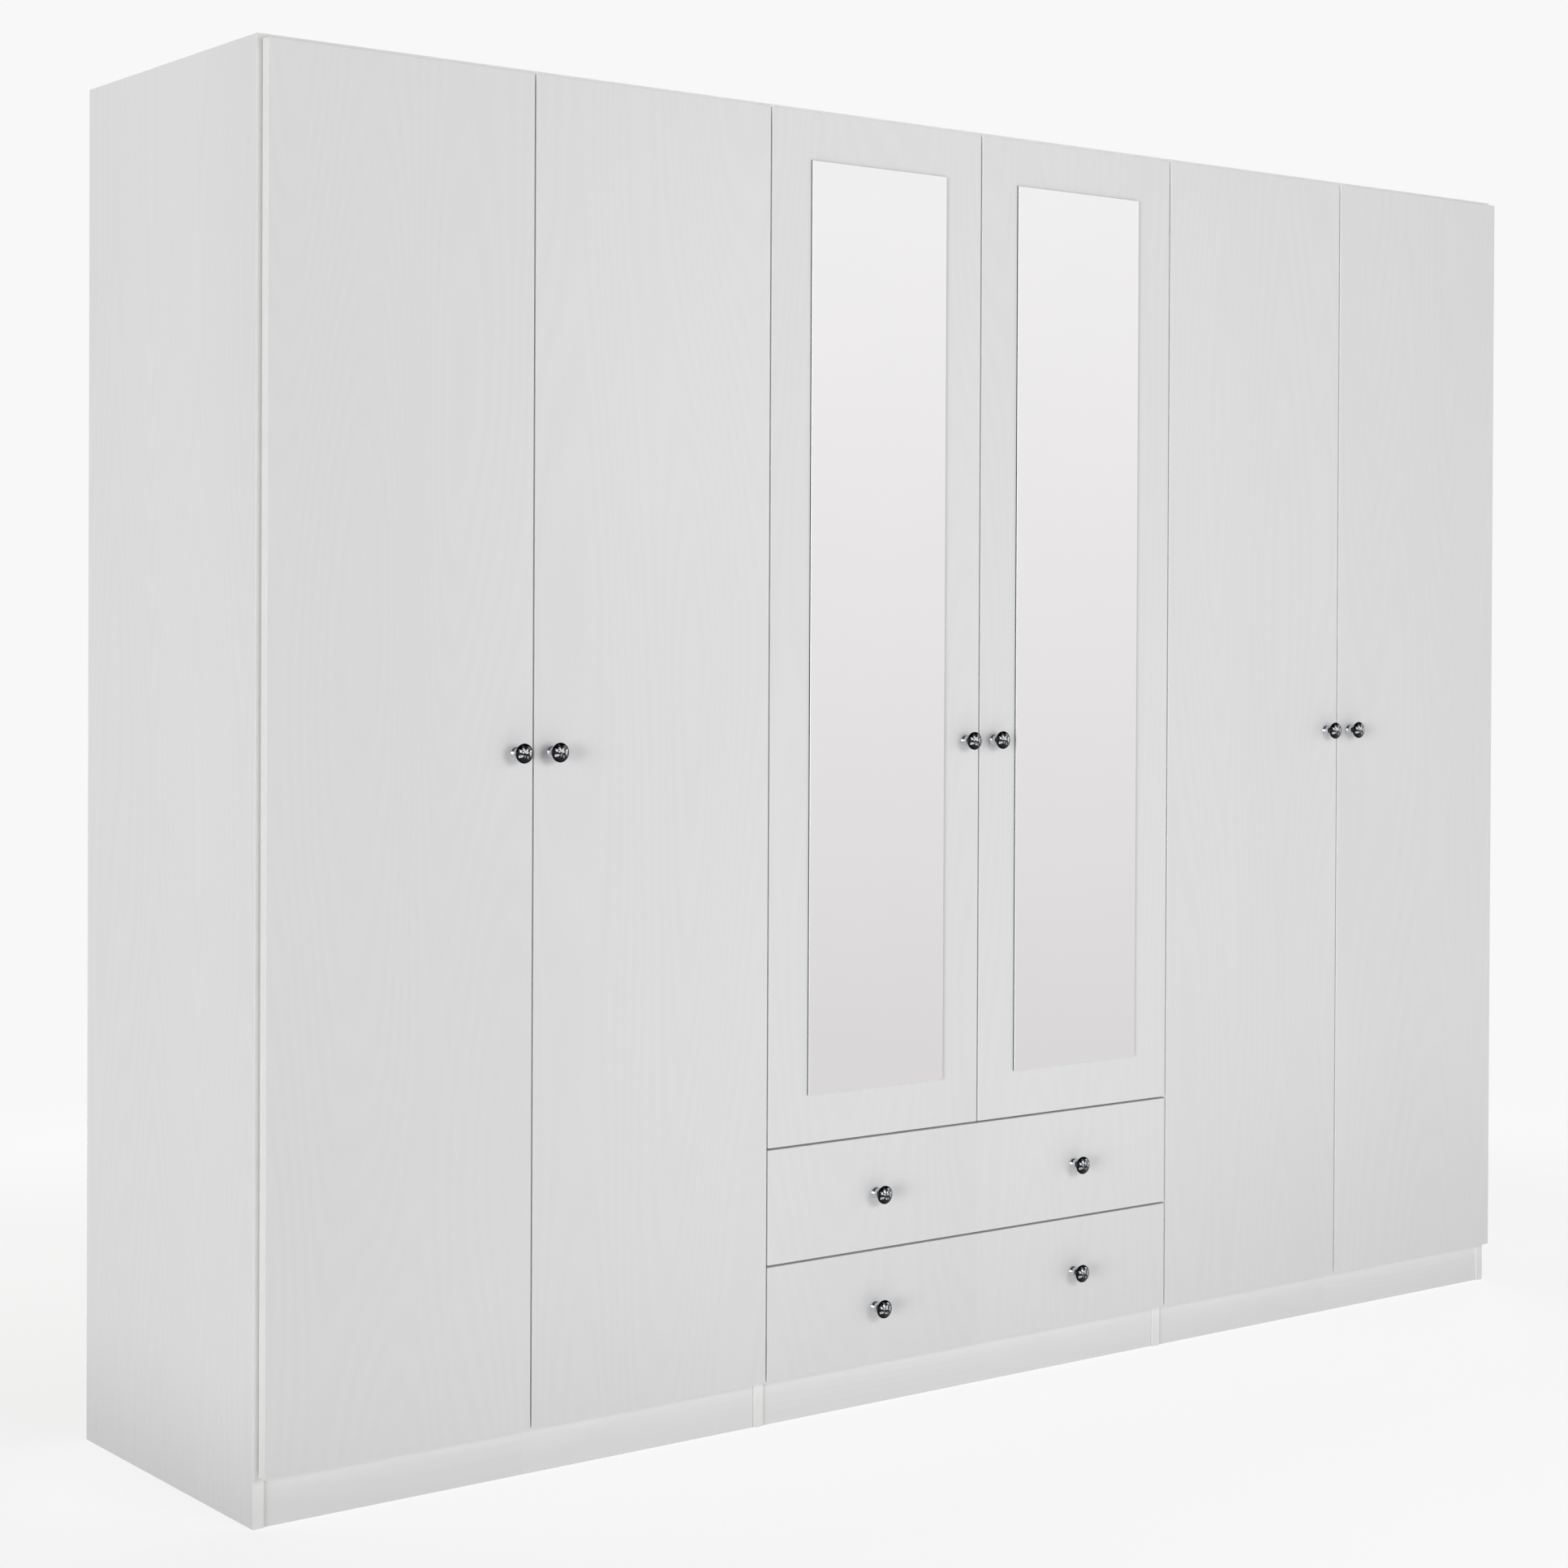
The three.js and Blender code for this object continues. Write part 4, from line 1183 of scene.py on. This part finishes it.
# %% Room
# How far a direction points each way, as ranges of its z, y, x and z.
LOW_FRONT = {"From Min": -0.155, "From Max": 0.14}
TO_FRONT = {"From Min": -0.55, "From Max": -0.1, "To Min": 1, "To Max": 0}
TO_LEFT = {"From Min": -0.2, "From Max": -0.8}
OVERHEAD = {"From Min": 0.23, "From Max": 0.50}
ROOM_SHADES = (("X", TO_LEFT, "#f6f6f7"), ("Z", OVERHEAD, "#4c4c4e"))
ROOM_LIT, ROOM_SEEN = 0.62, 1.0  # the room lights less than it shows
world = bpy.data.worlds.new("studio_room")
world.use_nodes = True
bpy.context.scene.world = world
world.node_tree.nodes.clear()
direction = add_node(world, "ShaderNodeTexCoord")
parts = add_node(world, "ShaderNodeSeparateXYZ", links={"Vector": (direction, "Generated")})
low_front = add_node(world, "ShaderNodeMapRange", LOW_FRONT, {"Value": (parts, "Z")})
front_tones = {"data_type": "RGBA", 6: linear("#e7e5e6"), 7: linear("#ffffff")}
front_tone = add_node(world, "ShaderNodeMix", front_tones, {0: (low_front, 0)})
to_front = add_node(world, "ShaderNodeMapRange", TO_FRONT, {"Value": (parts, "Y")})
room_links = {0: (to_front, 0), 7: (front_tone, 2)}
room = add_node(world, "ShaderNodeMix", {"data_type": "RGBA", 6: linear("#f8f8f8")}, room_links)
for output, reach, shade in ROOM_SHADES:
    factor = add_node(world, "ShaderNodeMapRange", reach, {"Value": (parts, output)})
    links = {0: (factor, 0), 6: (room, 2)}
    room = add_node(world, "ShaderNodeMix", {"data_type": "RGBA", 7: linear(shade)}, links)
rays = add_node(world, "ShaderNodeLightPath")
seen_links = {0: (rays, "Is Camera Ray"), 1: (rays, "Is Glossy Ray")}
seen = add_node(world, "ShaderNodeMath", {"operation": "MAXIMUM"}, seen_links)
level_range = {"To Min": ROOM_LIT, "To Max": ROOM_SEEN}
level = add_node(world, "ShaderNodeMapRange", level_range, {"Value": (seen, 0)})
room_out = {"Color": (room, 2), "Strength": (level, 0)}
backdrop = add_node(world, "ShaderNodeBackground", links=room_out)
add_node(world, "ShaderNodeOutputWorld", links={"Surface": (backdrop, 0)})

# %% Lights
KEY_FROM = Vector((-0.91, -0.41, 0.03))
KEY_STRENGTH, KEY_SPREAD = 1.45, math.radians(22)
key = bpy.data.lights.new("key_from_the_left", "SUN")
key.energy = KEY_STRENGTH
key.angle = KEY_SPREAD
key_object = bpy.data.objects.new("key_from_the_left", key)
key_object.rotation_euler = KEY_FROM.to_track_quat("Z", "Y").to_euler()
bpy.context.scene.collection.objects.link(key_object)


def add_soft_light(name, place, aim, size, energy):
    """A broad lamp that is neither seen nor mirrored. Two sizes make it a rectangle."""
    light = bpy.data.lights.new(name, "AREA")
    light.shape = "RECTANGLE" if len(size) == 2 else "DISK"
    light.size = size[0]
    light.size_y = size[-1]
    light.energy = energy
    lamp = bpy.data.objects.new(name, light)
    lamp.location = place
    lamp.rotation_euler = (Vector(place) - Vector(aim)).to_track_quat("Z", "Y").to_euler()
    lamp.visible_camera = False
    lamp.visible_glossy = False
    bpy.context.scene.collection.objects.link(lamp)


TOP_LAMP_LIFT, TOP_LAMP_LENGTH, TOP_LAMP_DEPTH = 0.7, 2.3, 0.36
ROUND_LAMP = (1.5,)
over_the_top = Vector((0, CARCASS_BACK - TOP_LAMP_DEPTH / 2, HEIGHT))
top_lamp = over_the_top + Vector((0, 0, TOP_LAMP_LIFT))
top_lamp_size = (TOP_LAMP_LENGTH, TOP_LAMP_DEPTH)
# Each lamp: name, place, the point it faces, size and power in watts.
SOFT_LIGHTS = (
    ("fill_from_the_front", (-0.05, -3.45, 1.45), (0, -0.25, 1.2), ROUND_LAMP, 31.0),
    ("lamp_over_the_top", top_lamp, over_the_top, top_lamp_size, 9.0),
    ("lamp_at_the_right", (3.3, 1.0, 1.1), (1.2, 0, 1.0), ROUND_LAMP, 13.0),
    ("lamp_behind", (0, 3.6, 1.5), (0, 0.25, 1.0), ROUND_LAMP, 26.0),
)
for soft_light in SOFT_LIGHTS:
    add_soft_light(*soft_light)
bpy.context.scene.view_settings.view_transform = "Standard"
print("studio: floor, room, key light and", len(SOFT_LIGHTS), "soft lamps")

# %% The json module
import json
